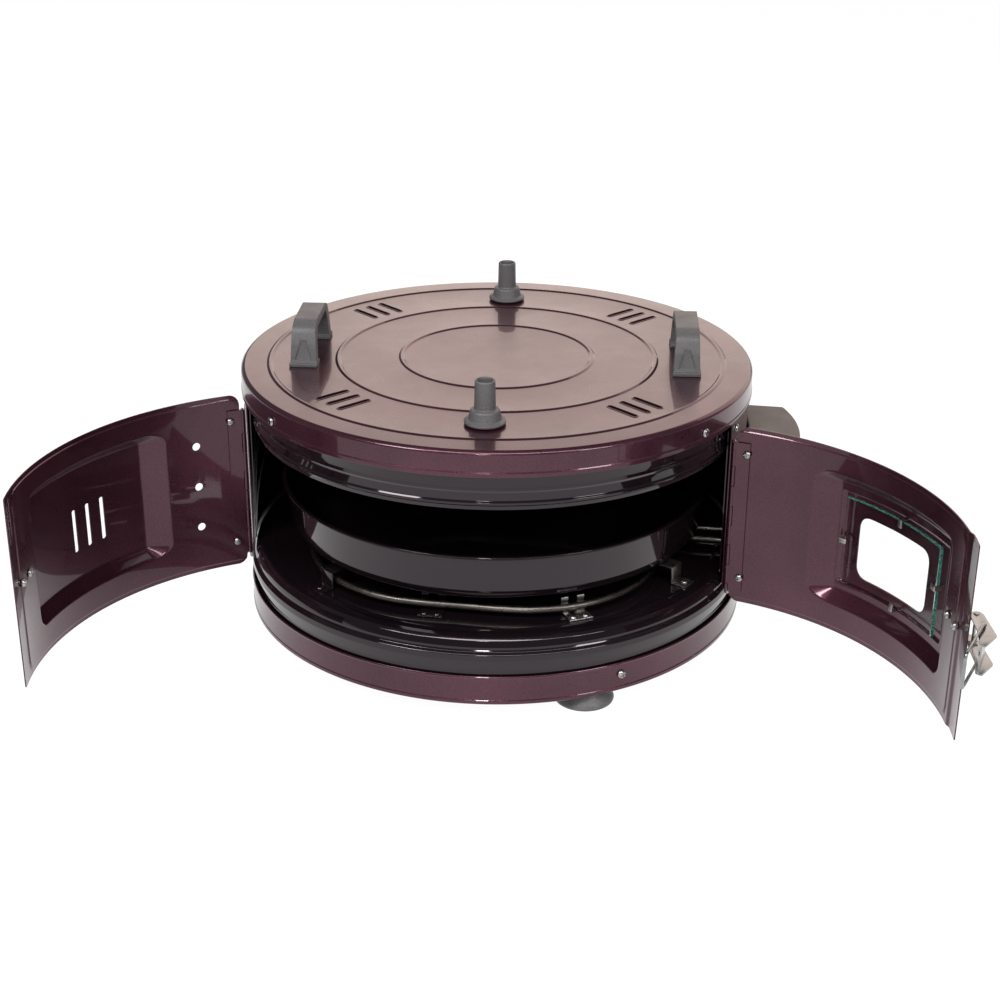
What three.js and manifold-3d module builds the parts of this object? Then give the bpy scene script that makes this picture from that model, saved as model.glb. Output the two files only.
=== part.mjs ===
// Round electric drum oven: a pressed lid and base on a sheet-metal drum, two curved doors that
// swing out on pin hinges, a toggle latch between them, two heating elements and a deep tray.
// Millimetres, +Z up, front of the oven along -Y. The origin is the centre of the flat disc
// pressed into the underside of the base, on the drum's axis. The doors stand open.
import * as THREE from "three";
import { mergeVertices } from "three/addons/utils/BufferGeometryUtils.js";
import Module from "manifold-3d";

const wasm = await Module();
wasm.setup();

// ---------- driving dimensions ----------
const GAP = 0.3; // between pieces that touch
const SHEET = 1.3; // stands for the real 0.6 mm sheet steel
const FACETS = 60; // sides of every large round part, so that neighbours' flats line up

const LID_R = 230;
const LID_TOP = 228;
const LID_HEM = 205.2;
const LID_TURN = 6; // the lid sits turned a little from the doors' centre line
const PAN_BOTTOM = 173.1; // lower edge of the black ring under the lid
const FLOOR_Z = 58.7;
const SHOULDER_Z = 44.2;
const SHOULDER_R = 228.8;
const BASE_R = 229.5;
const BASE_TOP = 24.7;
const WALL_IN = 226.6;
const WALL_OUT = WALL_IN + SHEET;
const LINER_IN = 223.7;
const LINER_OUT = 224.9;
const FOOT_R = 206;
const FOOT_Z = -15.5;
const FOOT_ANGLES = [31, 151, 271];

const DOOR_ANGLE = 72; // hinge pins, each side of the front
const DOOR_FIRST = 70.9; // where a panel starts, just past its pin
const DOOR_LAST = -2.1; // where it ends, just past the centre line
const DOOR_BOTTOM = 35.5;
const DOOR_TOP = 202;
const DOOR_IN = 230.4;
const DOOR_SHEET = 1.2;
const DOOR_OUT = DOOR_IN + DOOR_SHEET;
const DOOR_MID_Z = 120;
const BULGE = 8; // depth of the pressed panel in each door
const JOGGLE = 1.7; // the right door's edge steps out to lie over the left door
const PIN_R = 231;
const LEFT_OPEN = 78.5;
const RIGHT_OPEN = 96;

const TRAY_R = 196.7;
const TRAY_BOTTOM = 75.3;
const TRAY_RIM = 119.4;
const TUBE_R = 3.25; // heating elements
const LOWER_TUBE_Z = 66;
const UPPER_TUBE_Z = 190;
const TERMINAL_UPPER_Z = 158;
const TERMINAL_Y = 12;

const BOX_FRONT = -44; // control housing, along Y
const BOX_REAR = 69;
const BOX_FLOOR = 45;
const BOX_ROOF = 170;
const BOX_FACE_R = 157; // its outer face is an arc in plan
const BOX_FACE_X = 276;
const BOX_SHEET = 1.6;
const KNOB_TURN = 4.4; // the face's normal at the knobs, from +X
const THERMOSTAT_Z = 136;
const SELECTOR_Z = 80;
const LAMP_Z = 108;

// ---------- materials ----------
const paint = (color, roughness, metalness) => ({ color, roughness, metalness });
const CHERRY = paint(0x4a2630, 0.3, 0.5);
const ENAMEL = paint(0x121012, 0.15, 0.1);
const STEEL = paint(0xb8b8b4, 0.3, 1);
const PLASTIC = paint(0x2a2a2b, 0.55, 0);
const HOUSING = paint(0x3a3636, 0.45, 0.1);
const CLEAR = paint(0x9fc4b4, 0.05, 0);
const AMBER = paint(0xd9622b, 0.2, 0);
const RUBBER = paint(0x161616, 0.8, 0);

// ---------- geometry helpers ----------
const rad = THREE.MathUtils.degToRad;

// A point at an angle from the front, counted towards +X.
const place = (angle, radius) => [radius * Math.sin(rad(angle)), -radius * Math.cos(rad(angle))];

function bare(geometry) {
  geometry.deleteAttribute("normal");
  geometry.deleteAttribute("uv");
  return mergeVertices(geometry, 1e-4);
}

function solid(geometry) {
  const g = bare(geometry.clone());
  const mesh = { numProp: 3, vertProperties: g.attributes.position.array };
  return new wasm.Manifold(new wasm.Mesh({ ...mesh, triVerts: new Uint32Array(g.index.array) }));
}

function shell(made) {
  const mesh = made.getMesh();
  const geometry = new THREE.BufferGeometry();
  geometry.setAttribute("position", new THREE.BufferAttribute(mesh.vertProperties, 3));
  geometry.setIndex(new THREE.BufferAttribute(mesh.triVerts, 1));
  const flat = geometry.toNonIndexed();
  flat.computeVertexNormals();
  return flat;
}

const join = (first, ...others) => shell(others.reduce((s, g) => s.add(solid(g)), solid(first)));
const cut = (first, ...tools) => shell(tools.reduce((s, g) => s.subtract(solid(g)), solid(first)));

// A closed outline of [radius, z] points spun about Z, either way round.
function spin(outline, sides = FACETS) {
  const points = outline.map(([r, z]) => new THREE.Vector2(r, z));
  const open = points[0].x === 0 && points.at(-1).x === 0;
  if (THREE.ShapeUtils.area(points) < 0) points.reverse();
  if (!open) points.push(points[0].clone());
  return new THREE.LatheGeometry(points, sides).rotateX(Math.PI / 2);
}

// An outline of [x, y] points extruded up Z from a height.
function prism(outline, bottom, height) {
  const shape = new THREE.Shape(outline.map(([x, y]) => new THREE.Vector2(x, y)));
  const settings = { depth: height, bevelEnabled: false };
  return new THREE.ExtrudeGeometry(shape, settings).translate(0, 0, bottom);
}

const block = (x0, x1, y0, y1, z0, z1) =>
  new THREE.BoxGeometry(x1 - x0, y1 - y0, z1 - z0).translate(
    (x0 + x1) / 2,
    (y0 + y1) / 2,
    (z0 + z1) / 2,
  );

const post = (radius, z0, z1, sides = 16, x = 0, y = 0) =>
  new THREE.CylinderGeometry(radius, radius, z1 - z0, sides)
    .rotateX(Math.PI / 2)
    .translate(x, y, (z0 + z1) / 2);

// A rod lying along Y at the front, centred on [x, z], then turned to an angle about Z.
const radialRod = (radius, r0, r1, x, z, angle = 0, sides = 12) =>
  new THREE.CylinderGeometry(radius, radius, r1 - r0, sides)
    .translate(x, -(r0 + r1) / 2, z)
    .rotateZ(rad(angle));

// A slot with round ends, cut along Y at the front, long way up Z.
function radialSlot(width, height, r0, r1, x, z, angle = 0) {
  const straight = height - width;
  const body = block(x - width / 2, x + width / 2, -r1, -r0, z - straight / 2, z + straight / 2);
  const ends = [-1, 1].map((side) => radialRod(width / 2, r0, r1, x, z + (side * straight) / 2));
  return join(body, ...ends).rotateZ(rad(angle));
}

// A sheet bent round the axis: rows of angles and heights, with its inner radius from a function.
function curvedSheet(angles, heights, innerRadius, thickness) {
  const points = [];
  const index = [];
  const columns = angles.length;
  const rows = heights.length;
  const at = (skin, i, j) => (skin * rows + j) * columns + i;
  for (const outer of [0, 1]) {
    for (const z of heights) {
      for (const angle of angles) {
        points.push(...place(angle, innerRadius(angle, z) + outer * thickness), z);
      }
    }
  }
  const quad = (a, b, c, d) => index.push(a, b, c, a, c, d);
  for (let j = 0; j + 1 < rows; j++) {
    for (let i = 0; i + 1 < columns; i++) {
      quad(at(1, i, j), at(1, i + 1, j), at(1, i + 1, j + 1), at(1, i, j + 1));
      quad(at(0, i, j), at(0, i, j + 1), at(0, i + 1, j + 1), at(0, i + 1, j));
    }
  }
  for (let i = 0; i + 1 < columns; i++) {
    quad(at(0, i, 0), at(0, i + 1, 0), at(1, i + 1, 0), at(1, i, 0));
    quad(at(0, i, rows - 1), at(1, i, rows - 1), at(1, i + 1, rows - 1), at(0, i + 1, rows - 1));
  }
  for (let j = 0; j + 1 < rows; j++) {
    quad(at(0, 0, j), at(1, 0, j), at(1, 0, j + 1), at(0, 0, j + 1));
    const last = columns - 1;
    quad(at(0, last, j), at(0, last, j + 1), at(1, last, j + 1), at(1, last, j));
  }
  const geometry = new THREE.BufferGeometry();
  geometry.setAttribute("position", new THREE.Float32BufferAttribute(points, 3));
  geometry.setIndex(index);
  return geometry;
}

const steps = (from, to, count) =>
  Array.from({ length: count + 1 }, (_, i) => from + ((to - from) * i) / count);

// Rises from 0 to 1 between two values.
const ramp = (value, from, to) => THREE.MathUtils.clamp((value - from) / (to - from), 0, 1);

function tube(points, radius, stepCount) {
  const corners = points.map((p) => new THREE.Vector3(...p));
  const curve = new THREE.CatmullRomCurve3(corners, false, "centripetal");
  const section = new THREE.Shape(
    steps(0, 300, 5).map((a) => new THREE.Vector2(radius, 0).rotateAround(new THREE.Vector2(), rad(a))),
  );
  const settings = { steps: stepCount, extrudePath: curve, bevelEnabled: false };
  return new THREE.ExtrudeGeometry(section, settings);
}

const root = new THREE.Group();

function add(name, geometry, finish, group = root) {
  const flat = geometry.index ? geometry.toNonIndexed() : geometry;
  flat.computeVertexNormals();
  const mesh = new THREE.Mesh(flat, new THREE.MeshStandardMaterial(finish));
  mesh.name = name;
  group.add(mesh);
  return mesh;
}

// ---------- lid, with its vents, handles and screws ----------
const VENT_Y = 169.5;
const VENT_STUB_R = 12.4;
const SLOT_ANGLES = [45, 135, 225, 315];
const SLOT_PITCH = 15;
const SLOT_MID_R = 174;
const SLOT_LENGTH = 33;
const SLOT_WIDTH = 4.2;
const LID_SCREW_ANGLES = [-52, 52, 128, 232];
const LID_SCREW_Z = 214;

function lidBlank() {
  return spin([
    [0, LID_TOP],
    [226.6, LID_TOP],
    [229.2, LID_TOP - 1.1],
    [LID_R, LID_TOP - 3.4],
    [LID_R, LID_HEM + 4.4],
    [LID_R + 0.6, LID_HEM + 2.2],
    [LID_R, LID_HEM],
    [228.3, LID_HEM],
    [228.3, LID_TOP - 3.8],
    [226, LID_TOP - 1.5],
    [0, LID_TOP - 1.5],
  ]);
}

const ventBores = () =>
  [-1, 1].map((side) => post(VENT_STUB_R + GAP, LID_TOP - 5, LID_TOP + 5, 16, 0, side * VENT_Y));

const lidScrewHoles = () =>
  LID_SCREW_ANGLES.map((angle) => radialRod(2.5, 224, 236, 0, LID_SCREW_Z, angle, 8));

function lid() {
  const slots = [];
  for (const angle of SLOT_ANGLES) {
    for (const side of [-1, 0, 1]) {
      const x = side * SLOT_PITCH;
      const half = SLOT_WIDTH / 2;
      const slot = block(x - half, x + half, -SLOT_LENGTH / 2, SLOT_LENGTH / 2, -4, 4);
      slots.push(slot.translate(0, -SLOT_MID_R, LID_TOP).rotateZ(rad(angle)));
    }
  }
  return cut(lidBlank(), ...slots, ...ventBores(), ...lidScrewHoles());
}

// Hollow steam outlet: round flange, conical collar and tube, with a stub down through the lid.
const vent = () =>
  spin(
    [
      [6.3, -3],
      [VENT_STUB_R, -3],
      [VENT_STUB_R, GAP],
      [17.4, GAP],
      [17.4, 3],
      [14, 4.2],
      [12.3, 12.2],
      [9.4, 13.2],
      [8.7, 38],
      [6.3, 38],
    ],
    16,
  );

// A bow handle: two tapering legs with foot flanges, and a flat grip between them.
function handle() {
  const width = 24;
  const half = [
    [47.5, 0],
    [47.5, 2.6],
    [44.5, 3.6],
    [40, 24],
    [36.5, 31],
    [29, 34],
  ];
  const inside = [
    [26, 27],
    [29, 23],
    [33, 3.6],
    [30.5, 2.6],
    [30.5, 0],
  ];
  const mirrored = (points) => points.map(([y, z]) => [-y, z]).reverse();
  const outline = [...half, ...mirrored(half), ...mirrored(inside), ...inside];
  return prism(outline, -width / 2, width).rotateX(Math.PI / 2).rotateZ(Math.PI / 2);
}

// A pan-head screw pointing inwards at the front; its head sits on the given radius.
const screw = (headRadius, shankEnd, z, angle) =>
  spin(
    [
      [0, 0],
      [2, 0],
      [2, headRadius - shankEnd],
      [3.8, headRadius - shankEnd],
      [3.6, headRadius - shankEnd + 1.5],
      [2.2, headRadius - shankEnd + 2.4],
      [0, headRadius - shankEnd + 2.4],
    ],
    12,
  )
    .rotateX(Math.PI / 2)
    .translate(0, -shankEnd, z)
    .rotateZ(rad(angle));

function makeLid() {
  const group = new THREE.Group();
  group.rotation.z = rad(LID_TURN);
  root.add(group);
  add("lid", lid(), CHERRY, group);
  add("steam_vent_front", vent(), PLASTIC, group).position.set(0, -VENT_Y, LID_TOP);
  add("steam_vent_rear", vent(), PLASTIC, group).position.set(0, VENT_Y, LID_TOP);
  add("handle_left", handle(), PLASTIC, group).position.set(-169.5, 1.5, LID_TOP + GAP);
  add("handle_right", handle(), PLASTIC, group).position.set(169.5, 1.5, LID_TOP + GAP);
  const names = ["front_left", "front_right", "rear_right", "rear_left"];
  LID_SCREW_ANGLES.forEach((angle, i) => {
    add(`lid_screw_${names[i]}`, screw(LID_R + GAP, 227, LID_SCREW_Z, angle), STEEL, group);
  });
}

// ---------- drum: pans, walls, base and feet ----------
const BASE_SCREW_ANGLES = [37, 157, 277];
const BASE_SCREW_Z = 13.75;
const WALL_BOTTOM = 47.5;
const WALL_TOP = 224;
const LINER_BOTTOM = 61;
const LINER_TOP = 196;

// The black ring under the lid is the wall of an upturned pan, whose flat part is the oven's ceiling.
function upperPan() {
  const pan = spin([
    [0, 226],
    [223.5, 226],
    [226.2, 223.5],
    [226.2, 214],
    [220.6, 190],
    [220.3, 176],
    [219.2, PAN_BOTTOM],
    [218.2, 174],
    [218.9, 190.3],
    [224.9, 214.2],
    [224.9, 223],
    [222.9, 224.7],
    [0, 224.7],
  ]);
  return cut(pan, ...ventBores().map((bore) => bore.rotateZ(rad(LID_TURN))));
}

const lowerPan = () =>
  spin([
    [0, FLOOR_Z],
    [217, FLOOR_Z],
    [223, 55.6],
    [225.6, 48],
    [SHOULDER_R, SHOULDER_Z],
    [SHOULDER_R, 33],
    [226.9, 30.8],
    [226.9, 20],
    [225.6, 20],
    [225.6, 31.5],
    [227.5, 33.6],
    [227.5, 43.5],
    [224.5, 47],
    [221.9, 54.6],
    [216.6, FLOOR_Z - SHEET],
    [0, FLOOR_Z - SHEET],
  ]);

function baseCover() {
  const dish = spin([
    [0, 1],
    [223.6, 1],
    [225.2, -1.8],
    [228.6, -1.8],
    [BASE_R, -0.8],
    [BASE_R, BASE_TOP - 0.8],
    [228.9, BASE_TOP],
    [228.2, BASE_TOP],
    [228.2, -0.4],
    [226, -0.4],
    [224.4, 2.3],
    [0, 2.3],
  ]);
  const corners = steps(0, 14, 14).map((k) => place((k * 360) / 15, 60));
  const disc = prism(corners, 0, 1.6);
  const holes = BASE_SCREW_ANGLES.map((angle) => radialRod(2.5, 224, 236, 0, BASE_SCREW_Z, angle, 8));
  return cut(join(dish, disc), ...holes);
}

const foot = () =>
  spin(
    [
      [0, 1 - GAP],
      [15.8, 1 - GAP],
      [19.4, -4.5],
      [24.8, -11],
      [26, -14],
      [25, FOOT_Z],
      [7, FOOT_Z],
      [5, -6],
      [0, -6],
    ],
    16,
  );

const ELEMENT_HOLES = [
  [-TERMINAL_Y, LOWER_TUBE_Z],
  [TERMINAL_Y, LOWER_TUBE_Z],
  [-TERMINAL_Y, TERMINAL_UPPER_Z],
  [TERMINAL_Y, TERMINAL_UPPER_Z],
];

const elementHoles = () =>
  ELEMENT_HOLES.map(([y, z]) => radialRod(TUBE_R + 0.8, 215, 235, y, z, 90, 8));

function wall(inner, thickness, bottom, top, holes) {
  const angles = steps(DOOR_ANGLE, 360 - DOOR_ANGLE, 36);
  return cut(curvedSheet(angles, [bottom, top], () => inner, thickness), ...elementHoles(), ...holes);
}

function makeDrum() {
  add("upper_pan", upperPan(), ENAMEL);
  add("lower_pan", lowerPan(), ENAMEL);
  add("base_cover", baseCover(), CHERRY);
  const lidHoles = lidScrewHoles().map((hole) => hole.rotateZ(rad(LID_TURN)));
  add("outer_wall", wall(WALL_IN, SHEET, WALL_BOTTOM, WALL_TOP, lidHoles), CHERRY);
  add("inner_wall", wall(LINER_IN, LINER_OUT - LINER_IN, LINER_BOTTOM, LINER_TOP, []), ENAMEL);
  const footNames = ["front_right", "rear_right", "left"];
  FOOT_ANGLES.forEach((angle, i) => {
    add(`foot_${footNames[i]}`, foot(), PLASTIC).position.set(...place(angle, FOOT_R), 0);
  });
  const screwNames = ["front", "rear", "left"];
  BASE_SCREW_ANGLES.forEach((angle, i) => {
    add(`base_screw_${screwNames[i]}`, screw(BASE_R + GAP, 227.3, BASE_SCREW_Z, angle), STEEL);
  });
}

// ---------- heating elements, their clips and the tray rests ----------
const LOOP_CORNER = 120;
const LOOP_X = 36; // centres of the loop's corner arcs
const LOOP_Y = 62;
const REST_ANGLES = [63, 141, 243, 321];

// A rounded-rectangle loop whose two ends turn out towards +X at the control housing.
function elementRoute(z, terminalZ) {
  const arc = (sx, sy, from, to) =>
    steps(from, to, 4).map((a) => {
      const [x, y] = place(a, LOOP_CORNER);
      return [sx * LOOP_X + x, sy * LOOP_Y + y, z];
    });
  const right = LOOP_X + LOOP_CORNER;
  const front = LOOP_Y + LOOP_CORNER;
  const corners = [
    ...arc(1, -1, 90, 0),
    [0, -front, z],
    ...arc(-1, -1, 0, -90),
    [-right, 0, z],
    ...arc(-1, 1, -90, -180),
    [0, front, z],
    ...arc(1, 1, 180, 90),
  ];
  const lead = (side) => [
    [238, side * TERMINAL_Y, terminalZ],
    [212, side * TERMINAL_Y, terminalZ],
    [196, side * TERMINAL_Y, terminalZ],
    [right + 8, side * (TERMINAL_Y + 4), z],
    [right, side * 34, z],
  ];
  return [...lead(-1), ...corners, ...lead(1).reverse()];
}

// A forked strap: base on the floor, a bend behind the tube, and a notch in its upright.
function elementClip(x, tubeY) {
  const base = block(-10.5, 10.5, -13, 7.6, 0, 1.2);
  const upright = block(-10.5, 10.5, 6.4, 7.6, 0, 13.3);
  const notch = block(-4.2, 4.2, 5, 9, 6, 15);
  return cut(join(base, upright), notch).translate(x, tubeY, FLOOR_Z + GAP);
}

// Hangs the upper element from the ceiling: a plate, two legs and a bar under the tube.
function elementHanger(tubeX) {
  const z0 = UPPER_TUBE_Z - TUBE_R - GAP;
  const top = 224.7 - GAP;
  const plate = block(tubeX - 14, tubeX + 14, -7, 7, top - 1.2, top);
  const legs = [-1, 1].map((side) => {
    const x = tubeX + side * 5;
    return block(x - 0.6, x + 0.6, -7, 7, z0 - 1.2, top);
  });
  const bar = block(tubeX - 5.6, tubeX + 5.6, -7, 7, z0 - 1.2, z0);
  return join(plate, ...legs, bar);
}

// A stepped strap that carries the tray's edge clear of the lower element.
function trayRest() {
  const floor = FLOOR_Z + GAP;
  const top = TRAY_BOTTOM - GAP;
  const outline = [
    [212, floor],
    [212, floor + 1.2],
    [198, floor + 1.2],
    [198, top],
    [178, top],
    [178, top - 1.2],
    [196.8, top - 1.2],
    [196.8, floor],
  ];
  return prism(outline.map(([r, z]) => [r, z]), -8, 16).rotateX(Math.PI / 2).rotateZ(-Math.PI / 2);
}

function makeHeating() {
  add("lower_element", tube(elementRoute(LOWER_TUBE_Z, LOWER_TUBE_Z), TUBE_R, 48), STEEL);
  add("upper_element", tube(elementRoute(UPPER_TUBE_Z, TERMINAL_UPPER_Z), TUBE_R, 48), STEEL);
  const frontY = -(LOOP_Y + LOOP_CORNER);
  add("element_clip_left", elementClip(-25, frontY), STEEL);
  const forkAngle = 30;
  const forkR = Math.hypot(LOOP_X, LOOP_Y) + LOOP_CORNER;
  add("element_clip_right", elementClip(0, -forkR), STEEL).rotation.z = rad(forkAngle);
  add("upper_element_hanger", elementHanger(-(LOOP_X + LOOP_CORNER)), STEEL);
  const names = ["front_right", "rear_right", "rear_left", "front_left"];
  REST_ANGLES.forEach((angle, i) => {
    add(`tray_rest_${names[i]}`, trayRest(), STEEL).rotation.z = rad(angle);
  });
}

// ---------- tray ----------
const tray = () =>
  spin([
    [0, TRAY_BOTTOM],
    [183, TRAY_BOTTOM],
    [189, 77.2],
    [191.5, 82],
    [194.6, 117.6],
    [198.2, 117.9],
    [TRAY_R + 1.5, TRAY_RIM],
    [193.2, TRAY_RIM],
    [190, 82.6],
    [187.9, 78.4],
    [182.6, TRAY_BOTTOM + SHEET],
    [0, TRAY_BOTTOM + SHEET],
  ]);

// ---------- pin hinges ----------
// Hinge strip cut to length from a long one: where its knuckles meet, from its lower end up.
const KNUCKLE_ENDS = [46.5, 52.6, 71.4, 90.2, 109, 127.8, 146.6, 165.4, 188];
const LEAF_BOTTOM = KNUCKLE_ENDS[0];
const LEAF_TOP = KNUCKLE_ENDS.at(-1);
const KNUCKLE_R = 2.4;
const PIN_BORE = 1.3;
const KNUCKLE_GAP = 0.5;

// One leaf at the front with its pin at x = 0. The leaf runs from the pin towards +X.
function leaf(width, parity, innerRadius) {
  const own = [];
  const others = [];
  for (let k = 0; k + 1 < KNUCKLE_ENDS.length; k++) {
    const [low, high] = KNUCKLE_ENDS.slice(k, k + 2);
    if (k % 2 === parity) {
      own.push(post(KNUCKLE_R, low + KNUCKLE_GAP, high - KNUCKLE_GAP, 8, 0, -PIN_R));
    } else {
      others.push(post(KNUCKLE_R + 0.6, low - 0.1, high + 0.1, 8, 0, -PIN_R));
    }
  }
  const angles = steps(0.3, width / 4, 2);
  const plate = curvedSheet(angles, [LEAF_BOTTOM, LEAF_TOP], () => innerRadius, DOOR_SHEET);
  const bore = post(PIN_BORE, 0, LID_TOP, 8, 0, -PIN_R);
  return cut(join(cut(plate, ...others), ...own), bore);
}

const mirrorX = (geometry) => {
  const g = bare(geometry.clone()).scale(-1, 1, 1);
  const order = g.index.array;
  for (let i = 0; i < order.length; i += 3) [order[i], order[i + 1]] = [order[i + 1], order[i]];
  return g;
};

const bodyLeaf = () => leaf(13, 0, WALL_OUT + GAP);
const doorLeaf = () => leaf(14, 1, DOOR_IN - GAP - DOOR_SHEET);

// ---------- doors ----------
const BULGE_FROM = 11; // angles of the pressed panel, measured from the front
const BULGE_TO = 54;
const BULGE_LOW = 60;
const BULGE_HIGH = 182;
const BULGE_SLOPE = 4.2;
const BULGE_SLOPE_Z = 12;
const WINDOW_ANGLE = 33.3;
const WINDOW_WIDTH = 84;
const WINDOW_HEIGHT = 57;
const WINDOW_Z = 117.6;
const WINDOW_CORNER = 12;
const GLASS_SPAN = 14; // each side of its middle
const GLASS_HALF_HEIGHT = 39;
const GLASS_ANGLE = 32;
const LEFT_SLOTS = [29.8, 33.8, 37.8];
const LEFT_SLOTS_Z = 115.5;
const LEFT_HOLES_Z = [80.5, DOOR_MID_Z, 159];
const LEFT_HOLES_ANGLE = 61;

const bulge = (angle, z) =>
  BULGE *
  Math.min(
    ramp(angle, BULGE_FROM, BULGE_FROM + BULGE_SLOPE),
    ramp(-angle, -BULGE_TO, BULGE_SLOPE - BULGE_TO),
    ramp(z, BULGE_LOW, BULGE_LOW + BULGE_SLOPE_Z),
    ramp(-z, -BULGE_HIGH, BULGE_SLOPE_Z - BULGE_HIGH),
  );

// A right-hand door panel, closed, whose free edge may step outwards.
function doorPanel(joggle) {
  const angles = [
    DOOR_LAST,
    2.9,
    3.5,
    6,
    ...steps(BULGE_FROM, BULGE_FROM + BULGE_SLOPE, 1),
    ...steps(BULGE_FROM + BULGE_SLOPE, BULGE_TO - BULGE_SLOPE, 6).slice(1),
    BULGE_TO,
    ...steps(BULGE_TO, DOOR_FIRST, 4).slice(1),
  ];
  const low = [DOOR_BOTTOM, BULGE_LOW, BULGE_LOW + BULGE_SLOPE_Z];
  const heights = [...low, BULGE_HIGH - BULGE_SLOPE_Z, BULGE_HIGH, DOOR_TOP];
  const radius = (angle, z) => DOOR_IN + bulge(angle, z) + joggle * ramp(-angle, -3.5, -2.9);
  return curvedSheet(angles, heights, radius, DOOR_SHEET);
}

function roundedRectangle(width, height, corner) {
  const turns = [
    [1, 1, 0],
    [-1, 1, 90],
    [-1, -1, 180],
    [1, -1, 270],
  ];
  return turns.flatMap(([sx, sz, start]) =>
    steps(start, start + 90, 3).map((a) => [
      sx * (width / 2 - corner) + corner * Math.cos(rad(a)),
      sz * (height / 2 - corner) + corner * Math.sin(rad(a)),
    ]),
  );
}

// The four bent tabs that hold the pane: each has a stem beside the glass and a lip over it.
function paneTabs() {
  const lipIn = DOOR_IN + BULGE - 3.6 - 2 * GAP - 1.2;
  const lipOut = lipIn + 1.2;
  const stemOut = DOOR_IN + BULGE + 0.5;
  const tab = (across, stem, lip) => {
    const half = 4;
    const [a0, a1] = stem;
    const [b0, b1] = lip;
    return across
      ? join(block(a0, a1, -stemOut, -lipIn, -half, half), block(b0, b1, -lipOut, -lipIn, -half, half))
      : join(block(-half, half, -stemOut, -lipIn, a0, a1), block(-half, half, -lipOut, -lipIn, b0, b1));
  };
  const side = (GLASS_SPAN * Math.PI * (DOOR_IN + BULGE)) / 180 + 1.2;
  const top = GLASS_HALF_HEIGHT + 0.8;
  const turned = (geometry, angle) => geometry.rotateZ(rad(angle)).translate(0, 0, DOOR_MID_Z + 1.5);
  const edge = side / (DOOR_IN + BULGE);
  const edgeAngle = THREE.MathUtils.radToDeg(edge);
  return [
    turned(tab(true, [0, 1.2], [-7, 1.2]), GLASS_ANGLE + edgeAngle),
    turned(tab(true, [-1.2, 0], [-1.2, 7]), GLASS_ANGLE - edgeAngle),
    turned(tab(false, [top, top + 1.2], [top - 6, top + 1.2]), GLASS_ANGLE - 1),
    turned(tab(false, [-top - 1.2, -top], [-top - 1.2, -top + 6]), GLASS_ANGLE - 1),
  ];
}

function rightPanel() {
  const outline = roundedRectangle(WINDOW_WIDTH, WINDOW_HEIGHT, WINDOW_CORNER);
  const window = prism(outline, 200, 60).rotateX(Math.PI / 2);
  const opening = window.translate(0, 0, WINDOW_Z).rotateZ(rad(WINDOW_ANGLE));
  const middle = DOOR_MID_Z + 1.5;
  const rivets = RIVET_X_LATCH.map((x) => radialRod(1.9, 225, 240, x, middle, LATCH_ANGLE, 8));
  return cut(join(doorPanel(JOGGLE), ...paneTabs()), opening, ...rivets);
}

function leftPanel() {
  const slots = LEFT_SLOTS.map((angle) => radialSlot(4.4, 39.5, 225, 250, 0, LEFT_SLOTS_Z, angle));
  const holes = LEFT_HOLES_Z.map((z) => radialRod(3.7, 225, 240, 0, z, LEFT_HOLES_ANGLE, 12));
  const rivets = RIVET_X_KEEPER.map((x) => radialRod(1.9, 225, 240, -x, KEEPER_Z, -KEEPER_ANGLE, 8));
  return mirrorX(cut(doorPanel(0), ...slots, ...holes, ...rivets));
}

const glass = () => {
  const angles = steps(GLASS_ANGLE - GLASS_SPAN, GLASS_ANGLE + GLASS_SPAN, 8);
  const middle = DOOR_MID_Z + 1.5;
  const heights = [middle - GLASS_HALF_HEIGHT, middle + GLASS_HALF_HEIGHT];
  return curvedSheet(angles, heights, () => DOOR_IN + BULGE - GAP - 3.3, 3);
};

// ---------- toggle latch: base, lever and bail on the right door, keeper on the left ----------
const LATCH_ANGLE = 6.6;
const LATCH_Z = DOOR_MID_Z + 1.5;
const RIVET_X_LATCH = [-8.3, 10.7];
const RIVET_X_KEEPER = [-8.8, 8.8];
const KEEPER_ANGLE = -5.2;
const KEEPER_Z = DOOR_MID_Z + 0.5;
const LEVER_PIN = [-12.5, 12]; // along the door from the latch's middle, and out from the panel
const BAIL_PIN = [-31, 12.3];
const BAIL_REACH = [-47.5, -28.9]; // unlatched, it hangs inwards off the lever
const EAR_Z = 12.6; // the lever's ears, each side of the middle
const WIRE_R = 1.3;

// Outlines below are [along, out] from the panel's outer face; out is away from the oven.
const fromFace = (outline) => outline.map(([x, out]) => [x, -(DOOR_OUT + out)]).reverse();

function latchBase() {
  const plate = block(-12.3, 15, -(DOOR_OUT + 1.8), -(DOOR_OUT + 0.6), -12, 12);
  const ear = [
    [-12, 0.6],
    [-3, 0.6],
    [-8, 15],
    [-16, 15.5],
    [-16.4, 8.5],
  ];
  const ears = [-10.2, 9].map((z) => prism(fromFace(ear), z, 1.2));
  const pin = post(1.6, -14, 14, 10, LEVER_PIN[0], -(DOOR_OUT + LEVER_PIN[1]));
  const rivets = RIVET_X_LATCH.map((x) => radialRod(1.9, DOOR_OUT, 240, x, 0, 0, 8));
  return cut(join(plate, ...ears), pin, ...rivets);
}

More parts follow.
